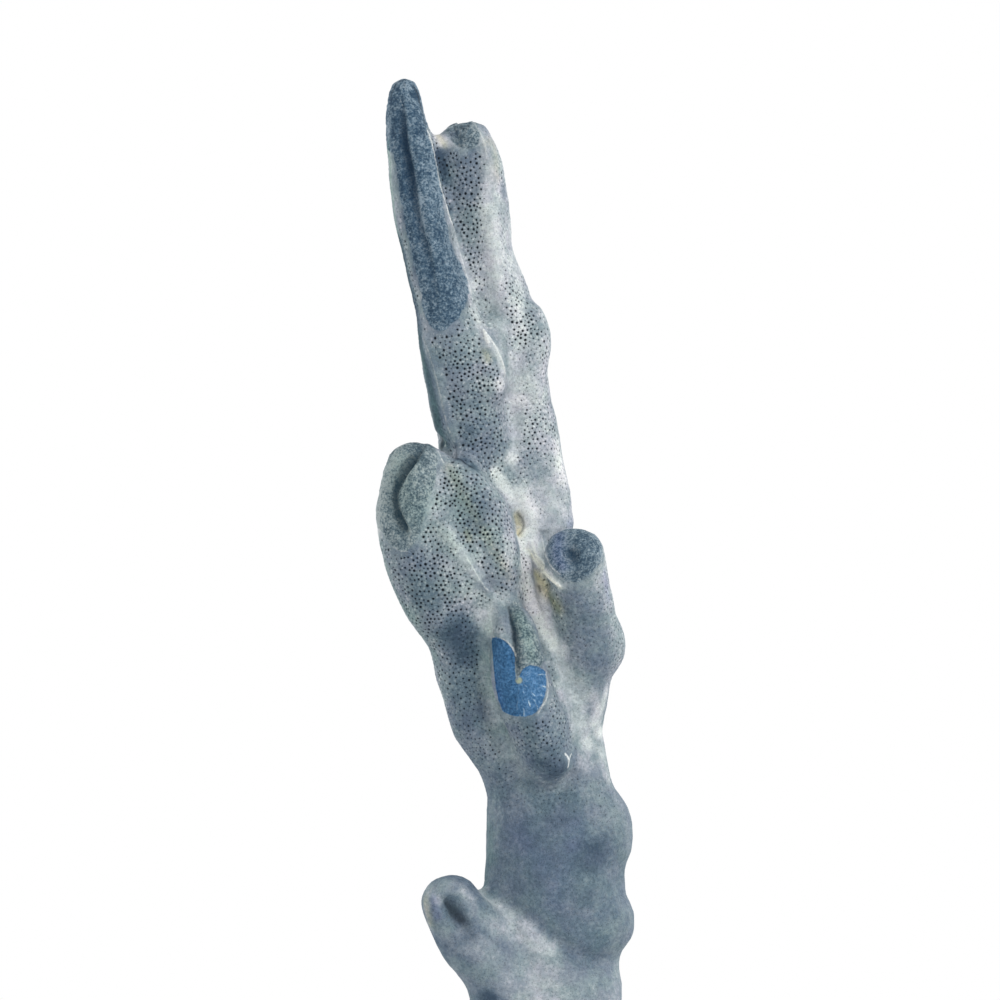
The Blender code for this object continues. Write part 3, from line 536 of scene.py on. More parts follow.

# Tints along lines on the skin, by field, as stain and, where noted, as painted shade: how strong they are,
# then (x, z, half width).
TINTS = {
    "teal": [
        # Teal: the sea-green of the lips and sides, and on the left flanks of the blade, the lobes and the
        # stem also painted shade on the side away from the light.
        (1.0, [(-31.6, 186.0, 1.6), (-29.6, 176.0, 2.0), (-27.8, 168.0, 2.0), (-26.2, 160.4, 2.0)]),
        (0.9, [(-40.4, 234.0, 1.0), (-39.2, 222.0, 1.2), (-37.4, 210.0, 1.4), (-34.6, 197.0, 1.8)]),
        (0.35, [(-36.0, 154.0, 5.0), (-33.0, 142.0, 6.0), (-22.0, 146.0, 7.0), (-20.0, 132.0, 8.0)]),
        (0.5, [(-40.6, 132.5, 2.6), (-37.4, 122.5, 2.8), (-32.2, 113.8, 3.0), (-27.6, 106.2, 3.0)]),
        (0.5, [(-15.0, 113.0, 3.4), (-14.0, 102.0, 2.2), (-11.0, 88.0, 2.2)]),
        (0.6, [(-14.6, 66.0, 2.6), (-15.0, 50.0, 2.6)]),
        (0.5, [(-7.0, 117.0, 2.2), (-4.4, 111.0, 2.4), (-3.4, 106.6, 2.0)]),
        (0.3, [(12.6, 36.0, 3.0)]),
    ],
    "warm": [
        # Warm: stain, except the first row, which is painted shadow in the notch under the right finger's
        # broken ledge.
        (0.9, [(-2.2, 126.6, 1.2), (0.2, 122.6, 1.9), (2.6, 118.4, 2.2)]),
        (0.35, [(-4.2, 132.0, 1.4), (-0.8, 128.4, 0.9), (3.4, 123.8, 0.8)]),
        (0.5, [(-26.8, 236.0, 1.0), (-25.0, 233.6, 1.0)]),
        (0.9, [(-6.9, 141.0, 1.2), (-6.3, 138.6, 1.2), (-6.4, 136.8, 1.1)]),
        (0.6, [(-19.4, 137.0, 1.0), (-18.8, 135.6, 1.0)]),
        (0.6, [(-14.9, 182.0, 0.9), (-14.2, 179.8, 0.9)]),
        (0.35, [(-12.8, 235.0, 1.6), (-12.0, 226.0, 2.0)]),
        (0.5, [(-29.8, 46.0, 1.6), (-28.6, 40.6, 1.6)]),
        (0.35, [(-24.0, 153.0, 1.6), (-9.0, 126.0, 1.4)]),
    ],
    "violet": [
        (0.9, [(3.2, 136.4, 1.8), (2.8, 131.6, 2.0), (4.0, 128.6, 1.6)]),
        (0.6, [(6.0, 139.0, 1.4), (9.0, 138.4, 1.2)]),
        (0.5, [(14.6, 127.0, 1.2), (15.6, 120.6, 1.2)]),
        (0.5, [(-24.6, 238.4, 1.4)]),
        (0.8, [(-28.0, 46.8, 1.1), (-26.6, 41.6, 1.2)]),
        (0.5, [(-6.0, 62.0, 4.0), (0.0, 54.0, 3.0)]),
        (0.4, [(8.0, 64.0, 2.6), (2.0, 46.0, 3.0)]),
        (0.4, [(-13.0, 100.0, 1.6), (-11.0, 92.4, 1.6)]),
    ],
}


def evaluated_mesh(obj, name):
    """The object's mesh with its modifiers applied; the object itself is removed."""
    graph = bpy.context.evaluated_depsgraph_get()
    graph.update()
    mesh = bpy.data.meshes.new_from_object(obj.evaluated_get(graph))
    mesh.name = name
    bpy.data.objects.remove(obj)
    return mesh


def linked_object(name, data):
    obj = bpy.data.objects.new(name, data)
    bpy.context.scene.collection.objects.link(obj)
    return obj


def add_displace(obj, name, reach):
    modifier = obj.modifiers.new(name, "DISPLACE")
    modifier.strength = reach * MM
    modifier.mid_level = 0.0


def add_voxels(obj, name, size):
    modifier = obj.modifiers.new(name, "REMESH")
    modifier.mode = "VOXEL"
    modifier.voxel_size = size * MM


def fused_skin(limbs):
    """The solids swollen until their kerfs and notches close, fused to one skin, drawn in and eased. The
    foot runs on downwards, to be cut flat later."""
    bm = bmesh.new()
    for limb in limbs.values():
        bm.from_mesh(limb.data)
    bmesh.ops.remove_doubles(bm, verts=bm.verts, dist=WELD * MM)
    foot = [vert for vert in bm.verts if vert.co.z < 0.05 * MM]
    bmesh.ops.translate(bm, vec=(0.0, 0.0, -FOOT_DROP * MM), verts=foot)
    mesh = bpy.data.meshes.new("limbs")
    bm.to_mesh(mesh)
    bm.free()
    skin = linked_object("skin", mesh)
    add_displace(skin, "swell", CLOSING)
    add_voxels(skin, "fuse", SKIN_VOXEL)
    add_displace(skin, "draw in", SKIN_PROUD - CLOSING)
    add_voxels(skin, "clean", SKIN_VOXEL)
    ease = skin.modifiers.new("ease", "SMOOTH")
    ease.factor = 0.5
    ease.iterations = SKIN_EASE
    return evaluated_mesh(skin, "fused_skin")


def surface_tree(mesh):
    return BVHTree.FromPolygons([v.co for v in mesh.vertices], [p.vertices for p in mesh.polygons])


def pore_lattice(skin, tree):
    """An even, slightly wandering lattice of triangles over the skin, cut flat at the foot."""
    tilt = Euler(LATTICE_TILT).to_matrix().to_4x4()
    tilted = skin.copy()
    tilted.transform(tilt)
    coarse = linked_object("coarse", tilted)
    add_voxels(coarse, "lattice", LATTICE_VOXEL)
    mesh = evaluated_mesh(coarse, "lattice")
    mesh.transform(tilt.inverted())
    bm = bmesh.new()
    bm.from_mesh(mesh)
    bmesh.ops.triangulate(bm, faces=bm.faces)
    stray = random.Random(LATTICE_SEED)
    for vert in bm.verts:
        step = Vector((stray.uniform(-1, 1), stray.uniform(-1, 1), stray.uniform(-1, 1)))
        vert.co += step * LATTICE_JITTER * LATTICE_VOXEL * MM
    for _ in range(LATTICE_ROUNDS):
        bmesh.ops.beautify_fill(bm, faces=bm.faces, edges=bm.edges)
        axes = {"use_axis_x": True, "use_axis_y": True, "use_axis_z": True}
        bmesh.ops.smooth_vert(bm, verts=bm.verts, factor=0.5, **axes)
        for vert in bm.verts:
            vert.co = tree.find_nearest(vert.co)[0]
    cut = bmesh.ops.bisect_plane(
        bm,
        geom=list(bm.verts) + list(bm.edges) + list(bm.faces),
        dist=WELD * MM,
        plane_co=(0.0, 0.0, 0.0),
        plane_no=DOWN,
        clear_outer=True,
    )
    rim = [item for item in cut["geom_cut"] if isinstance(item, bmesh.types.BMEdge)]
    bmesh.ops.triangle_fill(bm, edges=rim, use_beauty=True, normal=DOWN)
    bmesh.ops.recalc_face_normals(bm, faces=bm.faces)
    bm.faces.layers.int.new("limb")
    bm.faces.layers.float.new("pit_size")
    bm.verts.layers.int.new("crossing")
    bm.verts.layers.float_vector.new("skin_normal")
    bm.verts.layers.float.new("fleck")
    for name in FIELDS:
        bm.verts.layers.float.new(name)
    return bm


def between(a, b, c, d, share):
    """A share of the way from b to c, on the smooth curve that runs through a, b, c and d."""
    return (
        2 * b + (c - a) * share + (2 * a - 5 * b + 4 * c - d) * share**2 + (3 * b - a - 3 * c + d) * share**3
    ) / 2


def spaced(points):
    """A smooth line through the rows of points, sampled about LINE_STEP apart in the XZ plane."""
    rows = np.array(points, float)
    ends = np.vstack([2 * rows[0] - rows[1], rows, 2 * rows[-1] - rows[-2]])
    samples = []
    for a, b, c, d in zip(ends, ends[1:], ends[2:], ends[3:]):
        count = max(2, round(float(np.linalg.norm((c - b)[:2])) / LINE_STEP))
        samples += [between(a, b, c, d, share) for share in np.arange(count) / count]
    return np.array(samples + [rows[-1]])


def laid_line(points, tree):
    """The line laid on the skin: (x, y, z) in millimetres, then whatever else its points give. A single point
    is a spot, laid as a very short line. Points beside the branch are laid on its side."""
    if len(points) == 1:
        points = [points[0], (points[0][0] + SPOT_LENGTH, *points[0][1:])]
    laid = []
    for x, z, *values in spaced(points):
        hit = tree.ray_cast(Vector((x * MM, AHEAD * MM, z * MM)), BACKWARDS)[0]
        hit = hit or tree.find_nearest(Vector((x * MM, BESIDE * MM, z * MM)))[0]
        laid.append((*(hit / MM), *values))
    return np.array(laid)


def laid_rows(rows, tree):
    """Rows of values and a line, each with its line laid on the skin."""
    return [(*values, laid_line(points, tree)) for *values, points in rows]


def near_line(places, line, reach):
    """How points lie to a line: distance, run along it, side as seen from the front (-1 left, +1 right) and
    the line's own values there. Beyond its ends the run goes on round them, so that folds fan out there.
    Points further off than reach keep an infinite distance."""
    count = len(places)
    found = {
        "distance": np.full(count, np.inf),
        "run": np.zeros(count),
        "side": np.ones(count),
        "values": np.ones((count, line.shape[1] - 3)),
    }
    low, high = line[:, :3].min(0) - reach, line[:, :3].max(0) + reach
    close = np.nonzero(np.all((places > low) & (places < high), axis=1))[0]
    if not len(close):
        return found
    here = places[close]
    best = np.full(len(close), np.inf)
    run = np.zeros(len(close))
    side = np.ones(len(close))
    values = np.zeros((len(close), line.shape[1] - 3))
    start = 0.0
    last = len(line) - 2
    for i, (a, b) in enumerate(zip(line, line[1:])):
        way = b[:3] - a[:3]
        length = float(np.linalg.norm(way))
        free = (here - a[:3]) @ way / length**2
        share = np.clip(free, 0.0, 1.0)
        off = here - a[:3] - share[:, None] * way
        gap = np.linalg.norm(off, axis=1)
        nearer = gap < best
        best[nearer] = gap[nearer]
        run[nearer] = (start + share * length)[nearer]
        if i in (0, last):
            turn = np.arcsin(np.clip(np.abs(free - share) * length / np.maximum(gap, 1e-6), 0, 1))
            run[nearer] += (np.where(free > 1.0, turn, -turn) * FAN_RADIUS)[nearer]
        across = off[:, 0] * way[2] - off[:, 2] * way[0]
        side[nearer] = np.where(across * math.copysign(1.0, way[2]) > 0, 1.0, -1.0)[nearer]
        values[nearer] = (a[3:] + share[:, None] * (b[3:] - a[3:]))[nearer]
        start += length
    near = best < reach
    chosen = close[near]
    found["distance"][chosen] = best[near]
    found["run"][chosen] = run[near]
    found["side"][chosen] = side[near]
    found["values"][chosen] = values[near]
    return found


def falloff(places, line):
    """1 on the line, falling off smoothly over its own half width."""
    near = near_line(places, line, FALLOFF_REACH * line[:, 3].max())
    return np.exp(-((near["distance"] / near["values"][:, 0]) ** 2))


def eased(value, low, high):
    """0 below low, 1 above high, and a smooth ramp between. Low may be above high."""
    share = np.clip((value - low) / (high - low), 0.0, 1.0)
    return share * share * (3 - 2 * share)


def rounded(outline):
    """The closed outline as rows of (x, z), with smooth curves through its points."""
    rows = np.array(outline[-1:] + outline + outline[:2])
    corners = zip(rows, rows[1:], rows[2:], rows[3:])
    return np.array([between(*four, share) for four in corners for share in (0.0, 0.25, 0.5, 0.75)])


def inside(places, outline):
    """How far inside the outline each point lies as seen from the front; negative outside, down to
    -OUTLINE_REACH."""
    low, high = outline.min(0) - OUTLINE_REACH, outline.max(0) + OUTLINE_REACH
    x, z = places[:, 0], places[:, 2]
    close = np.nonzero((x > low[0]) & (x < high[0]) & (z > low[1]) & (z < high[1]))[0]
    x, z = x[close], z[close]
    within = np.zeros(len(close), bool)
    gap = np.full(len(close), np.inf)
    for (ax, az), (bx, bz) in zip(outline, np.roll(outline, -1, axis=0)):
        if bz != az:
            within ^= ((az > z) != (bz > z)) & (x < ax + (z - az) * (bx - ax) / (bz - az))
        length = (bx - ax) ** 2 + (bz - az) ** 2
        share = np.clip(((x - ax) * (bx - ax) + (z - az) * (bz - az)) / length, 0, 1)
        gap = np.minimum(gap, np.hypot(x - ax - share * (bx - ax), z - az - share * (bz - az)))
    depth = np.full(len(places), -OUTLINE_REACH)
    depth[close] = np.where(within, gap, -np.minimum(gap, OUTLINE_REACH))
    return depth


def lumps(places, size):
    """Smooth noise of about -1 to 1 at each point, with lumps of the given size in millimetres."""
    return np.array([noise.noise(Vector(place) / size) for place in places])


def folds(run, across, spacing):
    """Folds of about -1 to 1 that cross a growing edge, longer across it than along it."""
    rows = []
    for along, aside in zip(run / spacing, across / spacing):
        coarse = noise.noise(Vector((along * 1.5, aside * 0.22, 3.7)))
        fine = noise.noise(Vector((along * 3.1, aside * 0.4, 8.1)))
        rows.append(1.5 * coarse + 0.8 * fine)
    return np.array(rows)


class Growth:
    """The growing edges, relief and tones, as lines laid on the skin, and what they do at any point of it."""

    def __init__(self, tree):
        self.tree = tree
        self.slots = {name: laid_line(slot["line"], tree) for name, slot in SLOTS.items()}
        self.outlines = {name: rounded(slot["outline"]) for name, slot in SLOTS.items()}
        self.break_outline = rounded(BREAK_OUTLINE)
        self.crests = laid_rows(CRESTS, tree)
        self.relief = laid_rows(RELIEF, tree)
        self.hollows = laid_rows(HOLLOWS, tree)
        self.smooth = laid_rows(SMOOTH, tree)
        self.tones = laid_rows(TONES, tree)
        self.tints = {name: laid_rows(rows, tree) for name, rows in TINTS.items()}

    def edges(self, places, normals):
        """The fields of the growing edges and the break, and the height they give the skin."""
        count = len(places)
        fields = {name: np.zeros(count) for name in (*EDGE_FIELDS, "height")}
        ragged = lumps(places, 2.2) * 0.7 + lumps(places, 0.9) * 0.3
        for name, slot in SLOTS.items():
            near = near_line(places, self.slots[name], LIP_REACH)
            opened = near["values"][:, 0]
            distance = np.minimum(near["distance"], 99.0)
            within = inside(places, self.outlines[name]) + ragged * (0.15 + 0.6 * slot["soft"])
            lip = eased(within, -slot["soft"], slot["soft"]) * (near["distance"] < LIP_REACH)
            lip *= eased(-normals[:, 1], -0.5, -0.1)
            chosen = lip > fields["growth"]
            across = distance * near["side"]
            values = {"growth": lip, "run": near["run"], "across": across, "blue": slot["blue"]}
            for field, value in values.items():
                fields[field] = np.where(chosen, value, fields[field])
            wall = np.where(near["side"] < 0, *slot["walls"])
            hollow = np.exp(-((distance / wall) ** 2)) * opened
            # How dark the slot is painted: its deep blue with painted shade down the groove.
            fields["slot"] = np.maximum(fields["slot"], np.exp(-((1.3 * distance / wall) ** 1.5)) * opened)
            spacing, rise = slot["folds"]
            folded = np.zeros(count)
            live = lip > 0.01
            folded[live] = folds(near["run"][live], across[live], spacing)
            fields["height"] += lip * rise * folded * (1 - 0.6 * hollow) - hollow * slot["depth"]
        for pale, height, line in self.crests:
            near = falloff(places, line)
            fields["crest"] = np.maximum(fields["crest"], pale * near)
            fields["height"] += height * near
        depth = inside(places, self.break_outline)
        facing = eased(-normals[:, 1], -0.2, 0.0) * (places[:, 1] < BREAK_FRONT)
        fields["broken"] = eased(depth + ragged * 0.25, -0.1, 0.25) * facing
        return fields

    def read(self, places, normals):
        """The fields of the growing edges, with the whole height by which the skin is moved."""
        fields = self.edges(places, normals)
        for size, height in LUMP_SIZES:
            fields["height"] += lumps(places, size) * height * (1 - 0.7 * fields["growth"])
        rise = np.zeros(len(places))
        fall = np.zeros(len(places))
        for height, line in self.relief:
            moved = height * falloff(places, line)
            rise = np.maximum(rise, moved)
            fall = np.minimum(fall, moved)
        fields["height"] += rise + fall
        around = np.arctan2(places[:, 2] - BREAK_CORE[1], places[:, 0] - BREAK_CORE[0])
        splinters = np.array([noise.noise(Vector((turn * 4.0, 0.0, 5.0))) for turn in around])
        sunk = BREAK_DEPTH + 0.12 * lumps(places, 0.8) + 0.22 * splinters
        fields["height"] = fields["height"] * (1 - 0.85 * fields["broken"]) - fields["broken"] * sunk
        return fields

    def ground(self, verts):
        """Where vertices lie on the skin as it is before its relief, in millimetres."""
        return np.array([self.tree.find_nearest(vert.co)[0] for vert in verts]) / MM

    def pits(self, places):
        """How strongly the polyp pits show: full on the limbs, faint low on the stem."""
        strength = np.interp(places[:, 2], [60, 66, 74, 86, 110], [0.05, 0.2, 0.4, 0.85, 1.0])
        for share, line in self.smooth:
            strength *= 1 - share * falloff(places, line)
        return strength

    def tone(self, places):
        """How pale the skin is: a base by height, with painted light on the right side, drawn towards each
        line's own tone near it.
        """
        height = places[:, 2]
        base = np.interp(height, [0, 15, 40, 60, 75, 100, 150], [0.6, 0.5, 0.32, 0.3, 0.36, 0.52, 0.62])
        middle = np.interp(height, [0, 40, 80, 120, 160, 200, 250], [2, 3, 1, -8, -14, -21, -33])
        # Painted light: right of the branch's middle the skin is painted paler, as if lit from the right.
        base += 0.1 * eased(places[:, 0] - middle, 4.0, 15.0)
        weight = np.full(len(places), 0.22)
        total = weight * base
        for tone, line in self.tones:
            near = falloff(places, line)
            weight += near
            total += near * tone
        return total / weight


def strongest(places, rows):
    """The greatest of what the lines give each point: each line's strength, falling off from the line."""
    total = np.zeros(len(places))
    for strength, line in rows:
        total = np.maximum(total, strength * falloff(places, line))
    return total


def coordinates(verts):
    places = np.array([vert.co for vert in verts]) / MM
    normals = np.array([vert.normal for vert in verts])
    return places, normals


def keep_field(bm, name, values):
    layer = bm.verts.layers.float[name]
    for vert, value in zip(bm.verts, values):
        vert[layer] = float(value)


def tag_limbs(bm, limbs):
    """Marks each face of the lattice with the CAD limb it lies on."""
    trees = [surface_tree(limb.data) for limb in limbs.values()]
    tag = bm.faces.layers.int["limb"]
    for face in bm.faces:
        middle = face.calc_center_median()
        gaps = [tree.find_nearest(middle)[3] for tree in trees]
        face[tag] = gaps.index(min(gaps))
    for _ in range(BORDER_ROUNDS):
        for face in bm.faces:
            beside = [other[tag] for edge in face.edges for other in edge.link_faces if other is not face]
            common = max(sorted(set(beside)), key=beside.count)
            if beside.count(common) > 1:
                face[tag] = common


def split_growing_edges(bm, growth, tree):
    """Cuts the growing edges, the break, the ledges and the dark hollows into finer triangles that keep to
    the skin, and marks the rest of the lattice's crossings, where pits may be."""
    bm.normal_update()
    bm.verts.index_update()
    bm.faces.index_update()
    fields = growth.edges(*coordinates(bm.verts))
    fine = (fields["growth"] > 0.3) | (fields["broken"] > 0.3)
    middles = np.array([face.calc_center_median() for face in bm.faces]) / MM
    near = np.zeros(len(middles), bool)
    for *_, line in growth.crests + growth.hollows:
        near |= near_line(middles, line, CREST_BAND)["distance"] < CREST_BAND
    for face in bm.faces:
        near[face.index] |= any(fine[vert.index] for vert in face.verts)
    faces = [face for face in bm.faces if near[face.index]]
    edges = list({edge for face in faces for edge in face.edges})
    mark = bm.verts.layers.int["crossing"]
    for vert in set(bm.verts) - {vert for face in faces for vert in face.verts}:
        vert[mark] = 1
    bmesh.ops.subdivide_edges(bm, edges=edges, cuts=FINE_CUTS, use_grid_fill=True)
    bmesh.ops.triangulate(bm, faces=[face for face in bm.faces if len(face.verts) > 3])
    for vert in bm.verts:
        if vert.co.z > 0.5 * MM:
            vert.co = tree.find_nearest(vert.co)[0]


def raise_relief(bm, growth):
    """Moves the skin out and in by its relief, folds and slots, and keeps the growing edges' fields."""
    bm.normal_update()
    places, normals = coordinates(bm.verts)
    fields = growth.read(places, normals)
    foot = eased(places[:, 2], 0.0, 3.0)
    for vert, height, hold in zip(bm.verts, fields["height"], foot):
        vert.co += vert.normal * float(height * hold) * MM
    for name in EDGE_FIELDS:
        keep_field(bm, name, fields[name])


def raise_walls(bm, rims, growth):
    """Raises the middle of each wall between pits a little, most where the pits show best."""
    beside = dict.fromkeys(face for rim in rims for edge in rim.edges for face in edge.link_faces)
    for rim in rims:
        beside.pop(rim, None)
    peaks = bmesh.ops.poke(bm, faces=list(beside))["verts"]
    bm.normal_update()
    places = growth.ground(peaks)
    strengths = growth.pits(places)
    rises = strengths * WALL_RISE * (1 + 0.8 * lumps(places, 1.1))
    chance = random.Random(FLECK_SEED)
    fleck = bm.verts.layers.float["fleck"]
    for peak, strength, rise in zip(peaks, strengths, rises):
        peak.co += peak.normal * float(rise) * MM
        peak[fleck] = FLECK_TONE * float(strength) * chance.random() ** 2


def sink_pits(bm, growth):
    """A funnel-shaped pit at each open crossing of the lattice, shallower on the limbs' borders."""
    chance = random.Random(PIT_SEED)
    crossing = bm.verts.layers.int["crossing"]
    tag = bm.faces.layers.int["limb"]
    size_kept = bm.faces.layers.float["pit_size"]
    pit = bm.verts.layers.float["pit"]
    open_verts = [vert for vert in bm.verts if vert[crossing] and vert.co.z > LOWEST_PIT * MM]
    strengths = growth.pits(growth.ground(open_verts))
    chosen = []
    for vert, strength in zip(open_verts, strengths):
        shown = strength > FAINTEST_PIT and chance.random() < 0.4 + strength
        short = min(edge.calc_length() for edge in vert.link_edges) < SHORTEST_WALL * MM
        if shown and not short and chance.random() > PITS_MISSING:
            chosen.append(vert)
    rims = bmesh.ops.bevel(
        bm,
        geom=chosen,
        offset=PIT_RADIUS * MM,
        offset_type="OFFSET",
        segments=1,
        profile=0.5,
        affect="VERTICES",
        clamp_overlap=True,
        material=-1,
    )["faces"]
    raise_walls(bm, rims, growth)
    bm.normal_update()
    strengths = growth.pits(np.array([rim.calc_center_median() for rim in rims]) / MM)
    for rim, strength in zip(rims, strengths):
        seam = len({other[tag] for edge in rim.edges for other in edge.link_faces}) > 1
        size = (0.45 + 0.55 * float(strength)) * chance.uniform(*PIT_SIZES)
        rim[size_kept] = float(strength) * (SEAM_PIT if seam else 1.0)
        centre = rim.calc_center_median()
        for vert in rim.verts:
            vert.co = centre + (vert.co - centre) * size
    ledge = PIT_LEDGE * MM
    bmesh.ops.inset_individual(bm, faces=rims, thickness=ledge, depth=-ledge, use_even_offset=True)
    # How dark each pit's painted shade is: faint on its ledge, full on its floor.
    for rim in rims:
        for vert in rim.verts:
            vert[pit] = 0.45 * rim[size_kept]
    for floor in bmesh.ops.extrude_discrete_faces(bm, faces=rims)["faces"]:
        centre = floor.calc_center_median()
        drop = floor.normal * floor[size_kept] * PIT_DEPTH * MM
        for vert in floor.verts:
            vert.co = centre + (vert.co - centre) * PIT_TAPER - drop
            vert[pit] = floor[size_kept]


def paint_skin(bm, growth):
    """Keeps the skin's tone, stain and shade tints, the painted shade of its pits and hollows, and smooth
    normals on its vertices.
    """
    bm.normal_update()
    places = growth.ground(bm.verts)
    fleck = bm.verts.layers.float["fleck"]
    keep_field(bm, "tone", growth.tone(places) + np.array([vert[fleck] for vert in bm.verts]))
    for name in STAINS_AND_SHADE:
        keep_field(bm, name, strongest(places, growth.tints[name]))
    pit = bm.verts.layers.float["pit"]
    # The pits' painted shade, with the painted shade of the hollows.
    keep_field(bm, "pit", np.maximum([vert[pit] for vert in bm.verts], strongest(places, growth.hollows)))
    kept = bm.verts.layers.float_vector["skin_normal"]
    for vert in bm.verts:
        vert[kept] = vert.normal


def sink_rim(own, tree):
    """Turns the open rim of a limb down to near the middle of the branch, where its cap lies well inside."""
    normal = own.verts.layers.float_vector["skin_normal"]
    tag = own.faces.layers.int["limb"]
    loops = [edge.link_loops[0] for edge in own.edges if edge.is_boundary]
    below = {}
    for vert in dict.fromkeys(loop.vert for loop in loops):
        start = vert.co - vert[normal] * RIM_START * MM
        across = RIM_START * MM + (tree.ray_cast(start, -vert[normal])[3] or 0)
        depth = min(RIM_SHARE * across, RIM_DEEPEST * MM)
        below[vert] = own.verts.new(vert.co - vert[normal] * depth, vert)
    for start, end in [(loop.vert, loop.link_loop_next.vert) for loop in loops]:
        wall = own.faces.new((end, start, below[start], below[end]))
        wall[tag] = -1
    return [edge for edge in own.edges if edge.is_boundary]


def close_limb(own, tree):
    """Closes a limb's rims inside the branch, and marks the flat foot as sawn."""
    tag = own.faces.layers.int["limb"]
    caps = bmesh.ops.holes_fill(own, edges=sink_rim(own, tree), sides=0)["faces"]
    for cap in caps:
        loop = cap.loops[0]
        if loop.link_loop_radial_next.vert is loop.vert:
            cap.normal_flip()
    for face in bmesh.ops.triangulate(own, faces=caps, ngon_method="BEAUTY")["faces"]:
        face[tag] = -1
    for face in own.faces:
        if all(vert.co.z < 0.01 * MM for vert in face.verts):
            face[tag] = -1
            face.material_index = 1
    for edge in own.edges:
        edge.smooth = len({face[tag] for face in edge.link_faces}) == 1


def shade_as_skin(mesh):
    """Shades the grown faces with the whole skin's normals, so that no seam shows; the rest stays flat."""
    normals = [Vector(item.vector) for item in mesh.attributes["skin_normal"].data]
    tags = [item.value for item in mesh.attributes["limb"].data]
    shade = [Vector()] * len(mesh.loops)
    for polygon, mark in zip(mesh.polygons, tags):
        if mark >= 0:
            for loop in polygon.loop_indices:
                shade[loop] = normals[mesh.loops[loop].vertex_index]
    mesh.normals_split_custom_set(shade)


def limb_piece(bm, number, name, tree):
    """One limb's faces of the skin, as a closed mesh of their own."""
    own = bm.copy()
    tag = own.faces.layers.int["limb"]
    bmesh.ops.delete(own, geom=[face for face in own.faces if face[tag] != number], context="FACES")
    close_limb(own, tree)
    mesh = bpy.data.meshes.new(name)
    own.to_mesh(mesh)
    own.free()
    shade_as_skin(mesh)
    for spent in SCRATCH:
        mesh.attributes.remove(mesh.attributes[spent])
    return mesh


def colour(red, green, blue):
    """A shader colour from the 0 to 255 values that a colour chart gives."""
    shares = [value / 255 for value in (red, green, blue)]
    return (*[s / 12.92 if s <= 0.04045 else ((s + 0.055) / 1.055) ** 2.4 for s in shares], 1.0)


class Graph:
    """Short names for adding and joining shader nodes in one tree."""

    def __init__(self, tree):
        self.tree = tree

    def node(self, kind, **settings):
        made = self.tree.nodes.new(kind)
        for name, value in settings.items():
            setattr(made, name, value)
        return made

    def join(self, source, target):
        self.tree.links.new(source, target)

    def feed(self, made, inputs):
        """Joins each input to the socket given for it, or sets it to the value given."""
        for name, value in inputs.items():
            if isinstance(value, bpy.types.NodeSocket):
                self.join(value, made.inputs[name])
            else:
                made.inputs[name].default_value = value
        return made.outputs

    def fed(self, kind, inputs, output=0, **settings):
        """The output of a new node with its inputs fed."""
        return self.feed(self.node(kind, **settings), inputs)[output]

    def place(self):
        return self.fed("ShaderNodeTexCoord", {}, "Object")

    def field(self, name):
        return self.fed("ShaderNodeAttribute", {}, "Fac", attribute_name=name)

    def math(self, operation, first, second=0.0, clamp=False):
        return self.fed("ShaderNodeMath", {0: first, 1: second}, operation=operation, use_clamp=clamp)

    def blend(self, value, weight, offset=0.0):
        """Value times weight, plus offset."""
        return self.fed("ShaderNodeMath", {0: value, 1: weight, 2: offset}, operation="MULTIPLY_ADD")

    def ramp(self, value, low, high, to_low=0.0, to_high=1.0):
        ends = {"From Min": low, "From Max": high, "To Min": to_low, "To Max": to_high}
        return self.fed("ShaderNodeMapRange", {"Value": value, **ends}, 0, interpolation_type="SMOOTHSTEP")

    def mix(self, share, first, second, blend="MIX"):
        inputs = {"Factor": share, "A": first, "B": second}
        return self.fed("ShaderNodeMix", inputs, "Result", data_type="RGBA", blend_type=blend)

    def vector(self, **parts):
        return self.fed("ShaderNodeCombineXYZ", parts)

    def vector_math(self, operation, inputs, output=0):
        return self.fed("ShaderNodeVectorMath", inputs, output, operation=operation)

    def noise(self, vector, scale, detail=3.0, roughness=0.55):
        inputs = {"Vector": vector, "Scale": scale, "Detail": detail, "Roughness": roughness}
        return self.fed("ShaderNodeTexNoise", inputs, "Fac")

    def cells(self, vector, scale):
        """The distance to the nearest of scattered points, 0 at each."""
        return self.fed("ShaderNodeTexVoronoi", {"Vector": vector, "Scale": scale}, "Distance")

    def stops(self, value, stops):
        """A colour ramp through stops, each a place from 0 to 1 and a colour chart's red, green and blue."""
        made = self.node("ShaderNodeValToRGB")
        self.join(value, made.inputs["Fac"])
        elements = made.color_ramp.elements
        while len(elements) < len(stops):
            elements.new(0.5)
        for element, (place, shade) in zip(elements, stops):
            element.position = place
            element.color = colour(*shade)
        return made.outputs["Color"]

    def group(self, tree, **inputs):
        return self.feed(self.node("ShaderNodeGroup", node_tree=tree), inputs)

    def bump(self, height, strength, distance):
        inputs = {"Strength": strength, "Distance": distance * MM, "Height": height}
        return self.fed("ShaderNodeBump", inputs, "Normal")


def new_material(name):
    """A new material, its graph and its shader's inputs."""
    material = bpy.data.materials.new(name)
    material.use_nodes = True
    return material, Graph(material.node_tree), material.node_tree.nodes["Principled BSDF"].inputs


def new_group(name, inputs, outputs):
    """An empty shader group with its sockets, as a graph with its inputs and its output node's inputs."""
    tree = bpy.data.node_groups.new(name, "ShaderNodeTree")
    kinds = {"c": "NodeSocketColor", "f": "NodeSocketFloat", "v": "NodeSocketVector"}
    for way, sockets in (("INPUT", inputs), ("OUTPUT", outputs)):
        for label, kind in sockets.items():
            tree.interface.new_socket(label, in_out=way, socket_type=kinds[kind])
    graph = Graph(tree)
    return graph, graph.node("NodeGroupInput").outputs, graph.node("NodeGroupOutput").inputs


